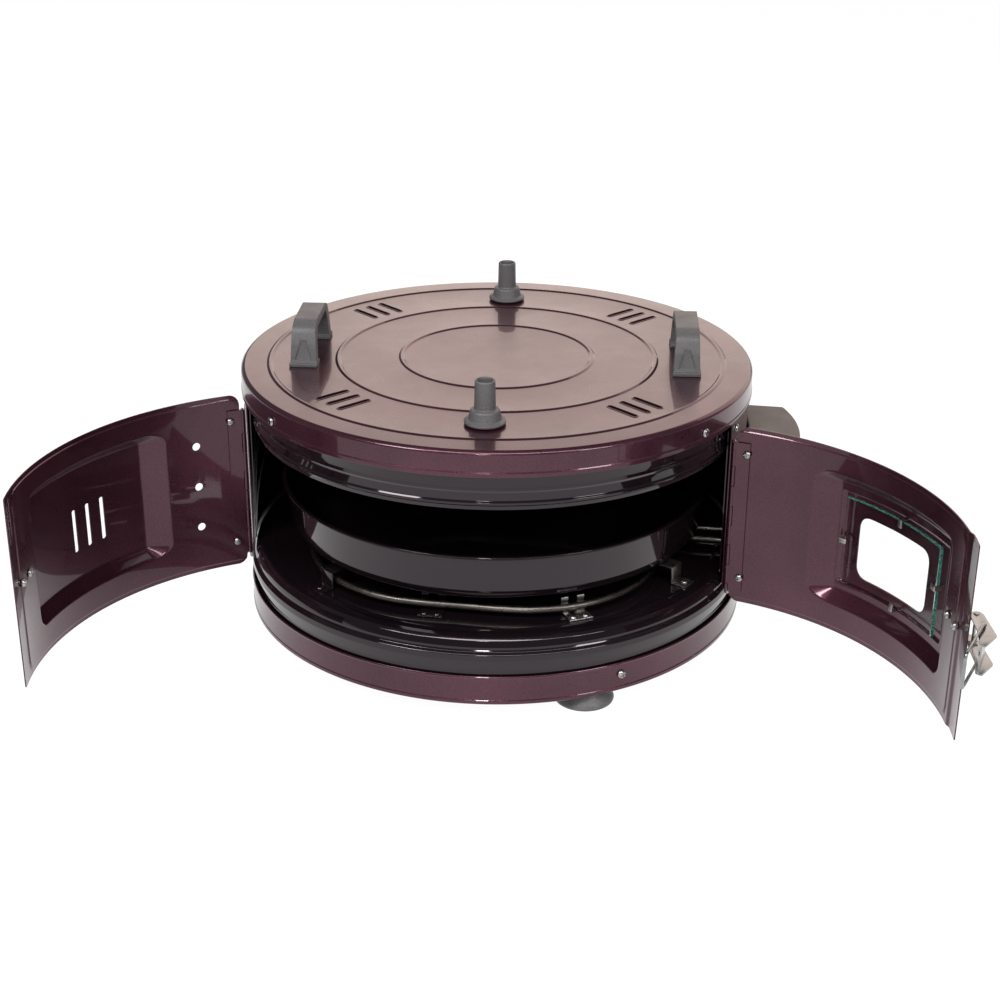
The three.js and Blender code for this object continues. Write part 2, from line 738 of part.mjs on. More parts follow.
function latchLever() {
  const ear = [
    [-9.5, 8.5],
    [-9, 14.5],
    [-13, 17],
    [-48.6, 16.5],
    [-64.5, 2.5],
    [-60, -1],
    [-42, 4],
    [-20, 6],
  ];
  const web = [
    [-36, 13.4],
    [-61.4, 1],
    [-60.8, -0.1],
    [-35.4, 12.3],
  ];
  const ears = [-EAR_Z, EAR_Z - 1.2].map((z) => prism(fromFace(ear), z, 1.2));
  const back = prism(fromFace(web), -EAR_Z, 2 * EAR_Z);
  const hole = (at, radius) => post(radius, -20, 20, 10, at[0], -(DOOR_OUT + at[1]));
  return cut(join(ears[0], back, ears[1]), hole(LEVER_PIN, 1.6), hole(BAIL_PIN, WIRE_R + 0.7));
}

const latchPin = () =>
  post(1.25, -EAR_Z - 1, EAR_Z + 1, 10, LEVER_PIN[0], -(DOOR_OUT + LEVER_PIN[1]));

// A wire loop: two arms from the lever's ears to a cross bar that hooks over the keeper.
function bail() {
  const armZ = EAR_Z + WIRE_R + 0.7;
  const [x0, out0] = BAIL_PIN;
  const y0 = -(DOOR_OUT + out0);
  const x1 = x0 + BAIL_REACH[0];
  const y1 = y0 - BAIL_REACH[1];
  const along = (t) => [x0 + t * (x1 - x0), y0 + t * (y1 - y0)];
  const arm = (side) => [
    [x0, y0, side * (EAR_Z - 2.6)],
    [x0, y0, side * (EAR_Z + 0.6)],
    [...along(0.035), side * armZ],
    [...along(0.5), side * armZ],
    [...along(0.95), side * armZ],
    [...along(1), side * (armZ - 2)],
  ];
  return tube([...arm(1), ...arm(-1).reverse()], WIRE_R, 32);
}

function keeper() {
  const plate = block(-12.4, 11.4, -(DOOR_OUT + 1.8), -(DOOR_OUT + 0.6), -10, 10);
  const hook = [
    [2.4, 0.9],
    [3.6, 0.9],
    [3.6, 8.5],
    [-1.6, 8.5],
    [-1.6, 7.3],
    [2.4, 7.3],
  ];
  const rivets = RIVET_X_KEEPER.map((x) => radialRod(1.9, DOOR_OUT, 240, x, 0, 0, 8));
  return cut(join(plate, prism(fromFace(hook), -10, 20)), ...rivets);
}

// A rivet through panel and plate, with a head on each side.
const rivet = () =>
  spin(
    [
      [0, DOOR_IN - 2.4],
      [2.4, DOOR_IN - 2.2],
      [3.2, DOOR_IN - 1],
      [1.6, DOOR_IN - 1],
      [1.6, DOOR_OUT + 1.8 + GAP],
      [3.2, DOOR_OUT + 1.8 + GAP],
      [2.4, DOOR_OUT + 3.2],
      [0, DOOR_OUT + 3.4],
    ],
    10,
  ).rotateX(Math.PI / 2);

// A small screw whose head sits on the inner face of a door's hinge leaf.
const leafScrew = () => {
  const face = DOOR_IN - 2 * GAP - DOOR_SHEET;
  return spin(
    [
      [0, face - 1.8],
      [2.6, face - 1.6],
      [3.6, face - 0.2],
      [3.6, face],
      [0, face],
    ],
    12,
  ).rotateX(Math.PI / 2);
};

// Each door is modelled shut round the drum's axis, then swung about its pin.
function doorGroup(side, open) {
  const [px, py] = place(side * DOOR_ANGLE, PIN_R);
  const swing = new THREE.Group();
  swing.position.set(px, py, 0);
  swing.rotation.z = rad(side * open);
  const shut = new THREE.Group();
  shut.position.set(-px, -py, 0);
  swing.add(shut);
  root.add(swing);
  return shut;
}

function turnedGroup(parent, angle, z = 0) {
  const group = new THREE.Group();
  group.rotation.z = rad(angle);
  group.position.z = z;
  parent.add(group);
  return group;
}

const LEAF_SCREW_ANGLE = DOOR_ANGLE - 2.4;
const LEAF_SCREWS = [
  ["lower", 60],
  ["upper", 178],
];

function makeDoors() {
  for (const [name, side, open] of [
    ["left", -1, LEFT_OPEN],
    ["right", 1, RIGHT_OPEN],
  ]) {
    const shut = doorGroup(side, open);
    const fixed = side > 0 ? bodyLeaf() : mirrorX(bodyLeaf());
    const moving = side > 0 ? mirrorX(doorLeaf()) : doorLeaf();
    add(`${name}_hinge_body_leaf`, fixed, CHERRY, turnedGroup(root, side * DOOR_ANGLE));
    add(`${name}_hinge_door_leaf`, moving, CHERRY, turnedGroup(shut, side * DOOR_ANGLE));
    const pin = post(PIN_BORE - 0.3, LEAF_BOTTOM - 1, LEAF_TOP + 1, 8);
    add(`${name}_hinge_pin`, pin, STEEL).position.set(...place(side * DOOR_ANGLE, PIN_R), 0);
    for (const [end, z] of LEAF_SCREWS) {
      const holder = turnedGroup(shut, side * LEAF_SCREW_ANGLE, z);
      add(`${name}_leaf_screw_${end}`, leafScrew(), STEEL, holder);
    }
    add(`${name}_door_panel`, side > 0 ? rightPanel() : leftPanel(), CHERRY, shut);
    const [angle, z] = side > 0 ? [LATCH_ANGLE, LATCH_Z] : [KEEPER_ANGLE, KEEPER_Z];
    const latched = turnedGroup(shut, angle, z);
    const plateName = side > 0 ? "latch" : "keeper";
    (side > 0 ? RIVET_X_LATCH : RIVET_X_KEEPER).forEach((x, i) => {
      add(`${plateName}_rivet_${i + 1}`, rivet(), STEEL, latched).position.x = x;
    });
    if (side > 0) {
      add("window_glass", glass(), CLEAR, shut);
      add("latch_base", latchBase(), STEEL, latched);
      add("latch_pin", latchPin(), STEEL, latched);
      add("latch_lever", latchLever(), STEEL, latched);
      add("latch_bail", bail(), STEEL, latched);
    } else {
      add("keeper", keeper(), STEEL, latched);
    }
  }
}

// ---------- control housing ----------
const FACE_CENTRE_X = BOX_FACE_X - BOX_FACE_R;
const faceX = (y, inset = 0) => FACE_CENTRE_X + Math.sqrt((BOX_FACE_R - inset) ** 2 - y ** 2);
const SHAFT_R = 3;

// Plan of the housing from the drum's skin to an outer arc, shrunk by an inset.
function housingPlan(inset, drumRadius) {
  const ys = steps(BOX_FRONT + inset, BOX_REAR - inset, 9);
  const outer = ys.map((y) => [faceX(y, inset), y]);
  const inner = [...ys].reverse().map((y) => [Math.sqrt(drumRadius ** 2 - y ** 2), y]);
  return [...outer, ...inner];
}

const faceHole = (radius, z) =>
  new THREE.CylinderGeometry(radius, radius, 30, 16)
    .rotateZ(Math.PI / 2)
    .translate(BOX_FACE_R, 0, z)
    .rotateZ(rad(KNOB_TURN))
    .translate(FACE_CENTRE_X, 0, 0);

function controlHousing() {
  const outside = prism(housingPlan(0, SHOULDER_R + 3 * GAP), BOX_FLOOR, BOX_ROOF - BOX_FLOOR);
  const depth = BOX_ROOF - BOX_FLOOR - 2 * BOX_SHEET;
  const inside = prism(housingPlan(BOX_SHEET, WALL_IN - 2), BOX_FLOOR + BOX_SHEET, depth);
  const inlet = new THREE.CylinderGeometry(7.3, 7.3, 12, 16).translate(...INLET);
  const shaftHoles = [THERMOSTAT_Z, SELECTOR_Z].map((z) => faceHole(SHAFT_R + 1, z));
  const holes = [...shaftHoles, faceHole(4.4, LAMP_Z)];
  return cut(outside, inside, inlet, ...holes);
}

const INLET = [243, BOX_REAR, 62];

// Rubber grommet that lines the cord's hole in the housing's rear end.
const cordInlet = () =>
  spin(
    [
      [4.2, -4.5],
      [9.5, -4.5],
      [9.5, -BOX_SHEET - GAP],
      [7, -BOX_SHEET - GAP],
      [7, GAP],
      [10, GAP],
      [10, 2.4],
      [4.2, 3.6],
    ],
    16,
  ).rotateX(-Math.PI / 2);

// A control body behind the face with its shaft, along +X from the face's centre of curvature.
function controlBody(size, depth) {
  const half = size / 2;
  const front = BOX_FACE_R - BOX_SHEET - 1.3;
  const can = block(front - depth, front, -half, half, -half, half);
  const shaft = post(SHAFT_R, front - 2, BOX_FACE_R + 12, 12).rotateY(Math.PI / 2);
  return join(can, shaft);
}

// A round knob with a grip bar across it and a blind bore for the shaft.
function knob() {
  const r0 = BOX_FACE_R + 1.6;
  const skirt = spin(
    [
      [SHAFT_R + GAP, r0],
      [19, r0],
      [19, r0 + 3],
      [16.5, r0 + 12],
      [0, r0 + 13],
      [0, r0 + 11],
      [SHAFT_R + GAP, r0 + 11],
    ],
    24,
  ).rotateY(Math.PI / 2);
  const grip = block(r0 + 11.6, r0 + 19, -3.2, 3.2, -16, 16);
  return join(skirt, grip);
}

const lamp = () =>
  spin(
    [
      [0, -8],
      [4, -8],
      [4, 0.5],
      [6, 0.5],
      [6, 1.6],
      [3.5, 3.4],
      [0, 4],
    ],
    14,
  )
    .rotateY(Math.PI / 2)
    .translate(BOX_FACE_R, 0, 0);

function makeControls() {
  add("control_housing", controlHousing(), HOUSING);
  add("cord_inlet", cordInlet(), RUBBER).position.set(...INLET);
  const face = (z) => {
    const group = turnedGroup(root, KNOB_TURN, z);
    group.position.x = FACE_CENTRE_X;
    return group;
  };
  add("thermostat", controlBody(30, 26), STEEL, face(THERMOSTAT_Z));
  add("selector_switch", controlBody(26, 24), PLASTIC, face(SELECTOR_Z));
  add("thermostat_knob", knob(), PLASTIC, face(THERMOSTAT_Z));
  add("selector_knob", knob(), PLASTIC, face(SELECTOR_Z));
  add("indicator_lamp", lamp(), AMBER, face(LAMP_Z));
}

makeLid();
makeDrum();
makeHeating();
add("baking_tray", tray(), ENAMEL);
makeDoors();
makeControls();

export default root;
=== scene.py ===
"""Looks of a round electric drum oven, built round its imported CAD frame. Lengths are in millimetres."""

import math

import bmesh
import bpy
from mathutils import Matrix, Vector


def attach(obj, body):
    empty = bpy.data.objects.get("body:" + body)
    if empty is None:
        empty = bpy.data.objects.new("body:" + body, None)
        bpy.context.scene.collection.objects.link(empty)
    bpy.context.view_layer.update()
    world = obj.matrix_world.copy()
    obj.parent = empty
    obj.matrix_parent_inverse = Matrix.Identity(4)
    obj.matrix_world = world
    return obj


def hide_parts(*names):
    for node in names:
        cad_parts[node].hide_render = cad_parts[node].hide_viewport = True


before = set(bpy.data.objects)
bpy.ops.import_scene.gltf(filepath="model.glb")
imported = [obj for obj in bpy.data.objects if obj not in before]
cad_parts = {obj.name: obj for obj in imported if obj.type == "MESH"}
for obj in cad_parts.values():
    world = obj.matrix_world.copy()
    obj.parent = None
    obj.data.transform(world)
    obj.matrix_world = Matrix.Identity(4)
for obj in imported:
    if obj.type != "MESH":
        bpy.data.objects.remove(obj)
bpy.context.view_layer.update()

MM = 0.001
ROUND = 240  # sides of the drum's round parts
SMOOTH = 32  # edges sharper than this many degrees stay crisp

LID_R = 230
LID_TOP = 228
LID_HEM = 205.2
LID_TURN = 6
RING_RADII = (86, 143, 204)
VENT_Y = 169.5
DOOR_ANGLE = 72
PIN_R = 231
LEFT_OPEN = 78.5
RIGHT_OPEN = 96
DOOR_IN = 230.4
SHEET = 1.0
DOOR_OUT = 231.6
KNOB_TURN = 4.4
FACE_CENTRE_X = 119
FACE_R = 157
LATCH_ANGLE = 6.6
LATCH_Z = 121.5
KEEPER_ANGLE = -5.2
KEEPER_Z = 120.5
KEEPER_RIVETS = (-8.8, 8.8)
LATCH_RIVETS = (-8.3, 10.7)
LEVER_PIVOT = (-12.5, -(DOOR_OUT + 12))
BAIL_PIVOT = (-31, -(DOOR_OUT + 12.3))


# ---------- camera, floor and light ----------
CAMERA_PLACE = (238.6, -1471.69, 747.26)
CAMERA_ANGLES = (-9.07, -23.968, 0.382)
CAMERA_LENS = 62.51


def make_camera():
    """The camera, placed by its heading from +Y towards +X, its pitch and its roll."""
    heading, pitch, roll = (math.radians(angle) for angle in CAMERA_ANGLES)
    ahead = Vector(
        (math.sin(heading) * math.cos(pitch), math.cos(heading) * math.cos(pitch), math.sin(pitch))
    )
    side = Vector((math.cos(heading), -math.sin(heading), 0))
    above = side.cross(ahead)
    right = side * math.cos(roll) + above * math.sin(roll)
    up = above * math.cos(roll) - side * math.sin(roll)
    data = bpy.data.cameras.new("camera")
    data.lens = CAMERA_LENS
    data.sensor_width = 36
    camera = bpy.data.objects.new("camera", data)
    bpy.context.scene.collection.objects.link(camera)
    turn = Matrix((right, up, -ahead)).transposed().to_4x4()
    camera.matrix_world = Matrix.Translation(Vector(CAMERA_PLACE) * MM) @ turn
    bpy.context.scene.camera = camera


def new_material(name):
    """An empty node material: its tree, its Principled shader and a position input in metres."""
    material = bpy.data.materials.new(name)
    material.use_nodes = True
    nodes = material.node_tree.nodes
    shader = nodes["Principled BSDF"]
    where = nodes.new("ShaderNodeTexCoord").outputs["Object"]
    return material, shader, where


def node(material, kind, inputs=None, **settings):
    """Adds a node, sets its properties, and sets or links its inputs."""
    made = material.node_tree.nodes.new("ShaderNode" + kind)
    for key, value in settings.items():
        setattr(made, key, value)
    for key, value in (inputs or {}).items():
        if isinstance(value, bpy.types.NodeSocket):
            material.node_tree.links.new(value, made.inputs[key])
        else:
            made.inputs[key].default_value = value
    return made


def link(material, output, target):
    material.node_tree.links.new(output, target)


def noise(material, where, scale, detail=2, roughness=0.5):
    made = node(
        material,
        "TexNoise",
        {"Vector": where, "Scale": scale, "Detail": detail, "Roughness": roughness},
    )
    return made.outputs["Fac"]


def ramp(material, value, stops):
    """A colour ramp through (position, colour) stops. A number stands for a grey."""
    made = node(material, "ValToRGB", {"Fac": value})
    elements = made.color_ramp.elements
    while len(elements) < len(stops):
        elements.new(0.5)
    for element, (position, colour) in zip(elements, stops):
        element.position = position
        grey = isinstance(colour, (int, float))
        element.color = (colour, colour, colour, 1) if grey else (*colour, 1)
    return made.outputs["Color"]


def vary(material, shader, socket, value, stops):
    """Drives a shader socket from a value by way of a colour ramp."""
    link(material, ramp(material, value, stops), shader.inputs[socket])


def bump(material, shader, height, strength, distance):
    made = node(material, "Bump", {"Height": height, "Strength": strength, "Distance": distance})
    link(material, made.outputs["Normal"], shader.inputs["Normal"])


def gloss_paint(name, dark, light, metallic, roughness, coat, specular=0.2, tint=(1, 1, 1)):
    """Baked paint: fine flakes and faint clouds in the colour, clear coat, orange peel, handling marks."""
    material, shader, where = new_material(name)
    flakes = noise(material, where, 1100, 1)
    clouds = noise(material, where, 9, 3)
    blend = node(material, "Mix", {"Factor": 0.5, "A": flakes, "B": clouds}, data_type="FLOAT")
    vary(material, shader, "Base Color", blend.outputs["Result"], [(0.36, dark), (0.64, light)])
    marks = ramp(
        material, noise(material, where, 26, 5, 0.65), [(0.35, roughness), (0.75, roughness * 1.4)]
    )
    link(material, marks, shader.inputs["Roughness"])
    shader.inputs["Metallic"].default_value = metallic
    shader.inputs["Specular IOR Level"].default_value = specular
    shader.inputs["Specular Tint"].default_value = (*tint, 1)
    shader.inputs["Coat Weight"].default_value = coat
    shader.inputs["Coat Roughness"].default_value = 0.035
    shader.inputs["Coat IOR"].default_value = 1.5
    bump(material, shader, noise(material, where, 260, 2), 0.035, 0.0002)
    return material


def make_materials():
    made = {}
    made["cherry_paint"] = gloss_paint(
        "cherry_paint", (0.042, 0.0115, 0.02), (0.09, 0.028, 0.045), 0.7, 0.26, 0.6
    )
    made["black_enamel"] = gloss_paint(
        "black_enamel",
        (0.0035, 0.002, 0.003),
        (0.0075, 0.0048, 0.0062),
        0.0,
        0.06,
        0.35,
        0.35,
        (1, 0.82, 0.92),
    )
    made["housing_paint"] = gloss_paint(
        "housing_paint", (0.075, 0.06, 0.056), (0.115, 0.094, 0.088), 0.0, 0.42, 0.05
    )

    material, shader, where = new_material("dark_plastic")
    grain = noise(material, where, 900, 3)
    vary(
        material,
        shader,
        "Base Color",
        grain,
        [(0.3, (0.07, 0.066, 0.069)), (0.7, (0.115, 0.11, 0.114))],
    )
    vary(material, shader, "Roughness", noise(material, where, 60, 4), [(0.3, 0.42), (0.7, 0.56)])
    bump(material, shader, grain, 0.18, 0.0002)
    made["dark_plastic"] = material

    material, shader, where = new_material("zinc_steel")
    drawn = node(material, "Mapping", {"Vector": where, "Scale": (40, 40, 900)}).outputs["Vector"]
    streaks = noise(material, drawn, 3, 4, 0.6)
    blotch = noise(material, where, 120, 3)
    vary(
        material, shader, "Base Color", blotch, [(0.3, (0.24, 0.235, 0.225)), (0.7, (0.44, 0.43, 0.41))]
    )
    vary(material, shader, "Roughness", streaks, [(0.3, 0.22), (0.7, 0.42)])
    shader.inputs["Metallic"].default_value = 1.0
    bump(material, shader, streaks, 0.08, 0.0002)
    made["zinc_steel"] = material

    material, shader, where = new_material("bright_plating")
    wipe = noise(material, where, 45, 5, 0.7)
    vary(material, shader, "Base Color", wipe, [(0.3, (0.22, 0.225, 0.23)), (0.7, (0.38, 0.385, 0.39))])
    vary(material, shader, "Roughness", wipe, [(0.3, 0.16), (0.75, 0.34)])
    shader.inputs["Metallic"].default_value = 1.0
    bump(material, shader, noise(material, where, 500, 2), 0.05, 0.0002)
    made["bright_plating"] = material

    material, shader, where = new_material("element_sheath")
    heat = noise(material, where, 14, 3)
    vary(material, shader, "Base Color", heat, [(0.3, (0.05, 0.044, 0.04)), (0.7, (0.17, 0.155, 0.14))])
    vary(material, shader, "Roughness", noise(material, where, 300, 3), [(0.3, 0.25), (0.7, 0.45)])
    shader.inputs["Metallic"].default_value = 1.0
    made["element_sheath"] = material

    material, shader, where = new_material("clear_glass")
    smear = noise(material, where, 18, 4, 0.6)
    vary(material, shader, "Base Color", smear, [(0.3, (0.93, 0.98, 0.96)), (0.7, (0.97, 1.0, 0.985))])
    vary(material, shader, "Roughness", smear, [(0.5, 0.0), (0.8, 0.06)])
    shader.inputs["Transmission Weight"].default_value = 1.0
    shader.inputs["IOR"].default_value = 1.1
    made["clear_glass"] = material

    material, shader, where = new_material("glass_edge")
    chips = noise(material, where, 700, 4, 0.7)
    vary(
        material, shader, "Base Color", chips, [(0.42, (0.01, 0.10, 0.075)), (0.66, (0.16, 0.50, 0.40))]
    )
    vary(material, shader, "Roughness", chips, [(0.3, 0.08), (0.7, 0.3)])
    shader.inputs["Transmission Weight"].default_value = 0.3
    made["glass_edge"] = material

    material, shader, where = new_material("lamp_lens")
    bubbles = noise(material, where, 300, 2)
    vary(
        material, shader, "Base Color", bubbles, [(0.3, (0.75, 0.20, 0.05)), (0.7, (0.95, 0.36, 0.10))]
    )
    vary(material, shader, "Roughness", bubbles, [(0.3, 0.06), (0.7, 0.16)])
    shader.inputs["Transmission Weight"].default_value = 0.4
    made["lamp_lens"] = material

    material, shader, where = new_material("black_rubber")
    dust = noise(material, where, 500, 4)
    vary(
        material,
        shader,
        "Base Color",
        dust,
        [(0.3, (0.012, 0.012, 0.012)), (0.75, (0.035, 0.034, 0.033))],
    )
    vary(material, shader, "Roughness", dust, [(0.3, 0.7), (0.7, 0.9)])
    bump(material, shader, dust, 0.2, 0.0002)
    made["black_rubber"] = material
    return made


MATERIALS = make_materials()


# ---------- shapes ----------
def rad(degrees):
    return math.radians(degrees)


def around(angle, radius):
    """X and Y of a point at an angle from the front, counted towards +X."""
    return radius * math.sin(rad(angle)), -radius * math.cos(rad(angle))


def turn_z(angle):
    return Matrix.Rotation(rad(angle), 4, "Z")


def shift(x=0, y=0, z=0):
    return Matrix.Translation(Vector((x, y, z)))


def steps(first, last, count):
    return [first + (last - first) * i / count for i in range(count + 1)]


def build(name, points, faces, place=None):
    """A mesh object from points in millimetres, placed by a matrix in millimetres."""
    mesh = bpy.data.meshes.new(name)
    at = place or Matrix.Identity(4)
    mesh.from_pydata([(at @ Vector(p)) * MM for p in points], [], faces)
    if at.determinant() < 0:
        mesh.flip_normals()
    mesh.validate()
    made = bpy.data.objects.new(name, mesh)
    bpy.context.scene.collection.objects.link(made)
    return made


def bake(made):
    """Applies an object's modifiers."""
    graph = bpy.context.evaluated_depsgraph_get()
    graph.update()
    mesh = bpy.data.meshes.new_from_object(made.evaluated_get(graph))
    made.modifiers.clear()
    made.data = mesh
    return made


def cut(made, *tools, operation="DIFFERENCE"):
    """Cuts or joins a solid with others, which are used up."""
    for tool in tools:
        change = made.modifiers.new("cut", "BOOLEAN")
        change.object = tool
        change.operation = operation
        change.solver = "EXACT"
    bake(made)
    for tool in tools:
        bpy.data.objects.remove(tool)
    return made


def join(made, *others):
    return cut(made, *others, operation="UNION")


def soften(made, width, angle=30, segments=3):
    """Rounds a solid's edges."""
    edge = made.modifiers.new("soften", "BEVEL")
    edge.width = width * MM
    edge.segments = segments
    edge.limit_method = "ANGLE"
    edge.angle_limit = rad(angle)
    edge.harden_normals = False
    return bake(made)


def finish_piece(made, material, body, replaces=(), smooth=SMOOTH):
    """Shades a piece, gives it its material, and ties it to the frame."""
    made.data.shade_smooth()
    made.data.set_sharp_from_angle(angle=rad(smooth))
    made.data.materials.clear()
    made.data.materials.append(MATERIALS[material])
    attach(made, body)
    if replaces:
        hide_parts(*replaces)
    return made


def fillet(points, radius, closed=False, turns=4):
    """Rounds the corners of an outline. A corner may state its own radius as a third value."""
    rounded = []
    count = len(points)
    for i, corner in enumerate(points):
        here = Vector(corner[:2])
        reach = corner[2] if len(corner) > 2 else radius
        if not closed and i in (0, count - 1) or reach == 0:
            rounded.append(tuple(here))
            continue
        before = Vector(points[i - 1][:2]) - here
        after = Vector(points[(i + 1) % count][:2]) - here
        half = before.angle(after) / 2
        if half > rad(88):
            rounded.append(tuple(here))
            continue
        length = min(reach / math.tan(half), before.length * 0.45, after.length * 0.45)
        start = here + before.normalized() * length
        end = here + after.normalized() * length
        for t in steps(0, 1, turns):
            rounded.append(tuple(start * (1 - t) ** 2 + here * 2 * t * (1 - t) + end * t * t))
    return rounded


def area(points):
    return sum(p[0] * q[1] - q[0] * p[1] for p, q in zip(points, points[1:] + points[:1])) / 2


def lathe(name, outline, radius=0.6, sides=ROUND, place=None):
    """A closed outline of [radius, z] spun about Z. It starts and ends on the axis, or closes on itself."""
    on_axis = outline[0][0] == 0 and outline[-1][0] == 0
    profile = fillet(outline, radius, closed=not on_axis)
    if area(profile) < 0:
        profile.reverse()
    points = []
    rings = []
    for r, z in profile:
        if r == 0:
            rings.append([len(points)] * sides)
            points.append((0, 0, z))
            continue
        rings.append(list(range(len(points), len(points) + sides)))
        points += [(*around(360 * k / sides, r), z) for k in range(sides)]
    faces = []
    pairs = list(zip(rings, rings[1:]))
    if not on_axis:
        pairs.append((rings[-1], rings[0]))
    for low, high in pairs:
        for k in range(sides):
            n = (k + 1) % sides
            quad = list(dict.fromkeys([low[k], low[n], high[n], high[k]]))
            if len(quad) > 2:
                faces.append(quad)
    return build(name, points, faces, place)


def prism(name, outline, low, high, place=None):
    """An outline of [x, y] extruded up Z."""
    corners = [tuple(p[:2]) for p in outline]
    if area(corners) < 0:
        corners.reverse()
    count = len(corners)
    points = [(x, y, low) for x, y in corners] + [(x, y, high) for x, y in corners]
    faces = [list(reversed(range(count))), list(range(count, 2 * count))]
    faces += [[k, (k + 1) % count, count + (k + 1) % count, count + k] for k in range(count)]
    return build(name, points, faces, place)


def box(name, low, high, place=None):
    corners = [(low[0], low[1]), (high[0], low[1]), (high[0], high[1]), (low[0], high[1])]
    return prism(name, corners, low[2], high[2], place)


def post(name, radius, low, high, sides=32, place=None):
    return prism(name, [around(360 * k / sides, radius) for k in range(sides)], low, high, place)


FRONT = Matrix.Rotation(rad(90), 4, "X")  # turns a shape that points up so that it points to the front
OUT_RIGHT = Matrix.Rotation(rad(90), 4, "Y")  # and this one, so that it points to +X


def grid_shell(name, columns, rows, skin, place=None):
    """A closed sheet over columns and rows: skin(u, v, side) gives its inner (0) or outer (1) point."""
    points = [skin(u, v, side) for side in (0, 1) for v in rows for u in columns]
    wide, high = len(columns), len(rows)

    def at(side, i, j):
        return (side * high + j) * wide + i

    faces = []
    for j in range(high - 1):
        for i in range(wide - 1):
            faces.append([at(1, i, j), at(1, i + 1, j), at(1, i + 1, j + 1), at(1, i, j + 1)])
            faces.append([at(0, i, j), at(0, i, j + 1), at(0, i + 1, j + 1), at(0, i + 1, j)])
    for i in range(wide - 1):
        faces.append([at(0, i, 0), at(0, i + 1, 0), at(1, i + 1, 0), at(1, i, 0)])
        top = high - 1
        faces.append([at(0, i, top), at(1, i, top), at(1, i + 1, top), at(0, i + 1, top)])
    for j in range(high - 1):
        end = wide - 1
        faces.append([at(0, 0, j), at(1, 0, j), at(1, 0, j + 1), at(0, 0, j + 1)])
        faces.append([at(0, end, j), at(0, end, j + 1), at(1, end, j + 1), at(1, end, j)])
    return build(name, points, faces, place)


def arc_sheet(name, angles, low, high, inner, thickness, place=None):
    """Plain sheet bent round the axis."""

    def skin(angle, z, side):
        return (*around(angle, inner + side * thickness), z)

    return grid_shell(name, angles, [low, high], skin, place)


def tube(name, route, radius, place=None, sides=16):
    """A round rod along a smooth route of points."""
    curve = bpy.data.curves.new(name, "CURVE")
    curve.dimensions = "3D"
    curve.bevel_depth = radius * MM
    curve.bevel_resolution = sides // 4
    curve.use_fill_caps = True
    curve.resolution_u = 8
    line = curve.splines.new("BEZIER")
    line.bezier_points.add(len(route) - 1)
    at = place or Matrix.Identity(4)
    for point, spot in zip(line.bezier_points, route):
        point.co = (at @ Vector(spot)) * MM
        point.handle_left_type = "AUTO"
        point.handle_right_type = "AUTO"
    holder = bpy.data.objects.new(name, curve)
    bpy.context.scene.collection.objects.link(holder)
    graph = bpy.context.evaluated_depsgraph_get()
    graph.update()
    mesh = bpy.data.meshes.new_from_object(holder.evaluated_get(graph))
    mesh.name = name
    bpy.data.objects.remove(holder)
    made = bpy.data.objects.new(name, mesh)
    bpy.context.scene.collection.objects.link(made)
    whole = bmesh.new()
    whole.from_mesh(mesh)
    bmesh.ops.remove_doubles(whole, verts=whole.verts, dist=1e-6)
    whole.to_mesh(mesh)
    whole.free()
    return made


# ---------- lid ----------
LID = turn_z(LID_TURN)
SLOT_ANGLES = (45, 135, 225, 315)
LID_SCREW_ANGLES = (-52, 52, 128, 232)


def stadium(width, length, grow, corners=8):
    """The outline of a slot with round ends, long way along Y, grown outwards all round."""
    radius = width / 2 + grow
    middle = length / 2 - width / 2
    upper = [
        (radius * math.cos(rad(a)), middle + radius * math.sin(rad(a))) for a in steps(0, 180, corners)
    ]
    return upper + [(-x, -y) for x, y in upper]


def slot_lip(name, width, length, place):
    """The low raised lip round a punched slot, and the sheet turned down inside it."""
    section = [
        (1.3, 227.4), (1.3, 228.05), (0.9, 228.45), (0.35, 228.5), (0, 228.2), (0, 226.8), (0.5, 226.8),
        (0.6, 227.4),
    ]
    loops = [[(x, y, z) for x, y in stadium(width, length, grow)] for grow, z in section]
    count = len(loops[0])
    faces = []
    for i in range(len(loops)):
        j = (i + 1) % len(loops)
        for k in range(count):
            n = (k + 1) % count
            faces.append([i * count + k, i * count + n, j * count + n, j * count + k])
    return build(name, [point for loop in loops for point in loop], faces, place)


def make_lid():
    outline = [(0, LID_TOP, 0)]
    for r in RING_RADII:
        outline += [
            (r - 2.8, LID_TOP, 0.8), (r - 1, LID_TOP + 1.1, 1.2), (r + 1, LID_TOP + 1.1, 1.2),
            (r + 2.8, LID_TOP, 0.8),
        ]
    outline += [
        (227.2, LID_TOP, 3), (LID_R, 225.6, 3), (LID_R, LID_HEM + 5), (LID_R + 0.6, LID_HEM + 4, 1)
    ]
    outline += [
        (LID_R + 0.6, LID_HEM + 0.4, 1), (LID_R - 0.3, LID_HEM), (228.4, LID_HEM), (228.4, 225, 3)
    ]
    outline += [(226, 226.7, 2), (0, 226.7, 0)]
    made = lathe("lid_shell", outline)
    tools = []
    lips = []
    for angle in SLOT_ANGLES:
        for x in (-15, 0, 15):
            place = LID @ turn_z(angle) @ shift(x, -174)
            tools.append(prism("slot", stadium(4.2, 33, 0.25), 220, 234, place))
            lips.append(slot_lip("lip", 4.2, 33, place))
    for side in (-1, 1):
        tools.append(post("bore", 12.6, 220, 234, 48, LID @ shift(0, side * VENT_Y)))
    for angle in LID_SCREW_ANGLES:
        tools.append(post("hole", 2.4, 224, 236, 16, LID @ turn_z(angle) @ shift(0, 0, 214) @ FRONT))
    cut(made, *tools)
    finish_piece(made, "cherry_paint", "oven_body", ["lid"])
    for i, lip in enumerate(lips):
        lip.name = "lid_slot_lip_" + str(i + 1)
        finish_piece(lip, "cherry_paint", "oven_body")


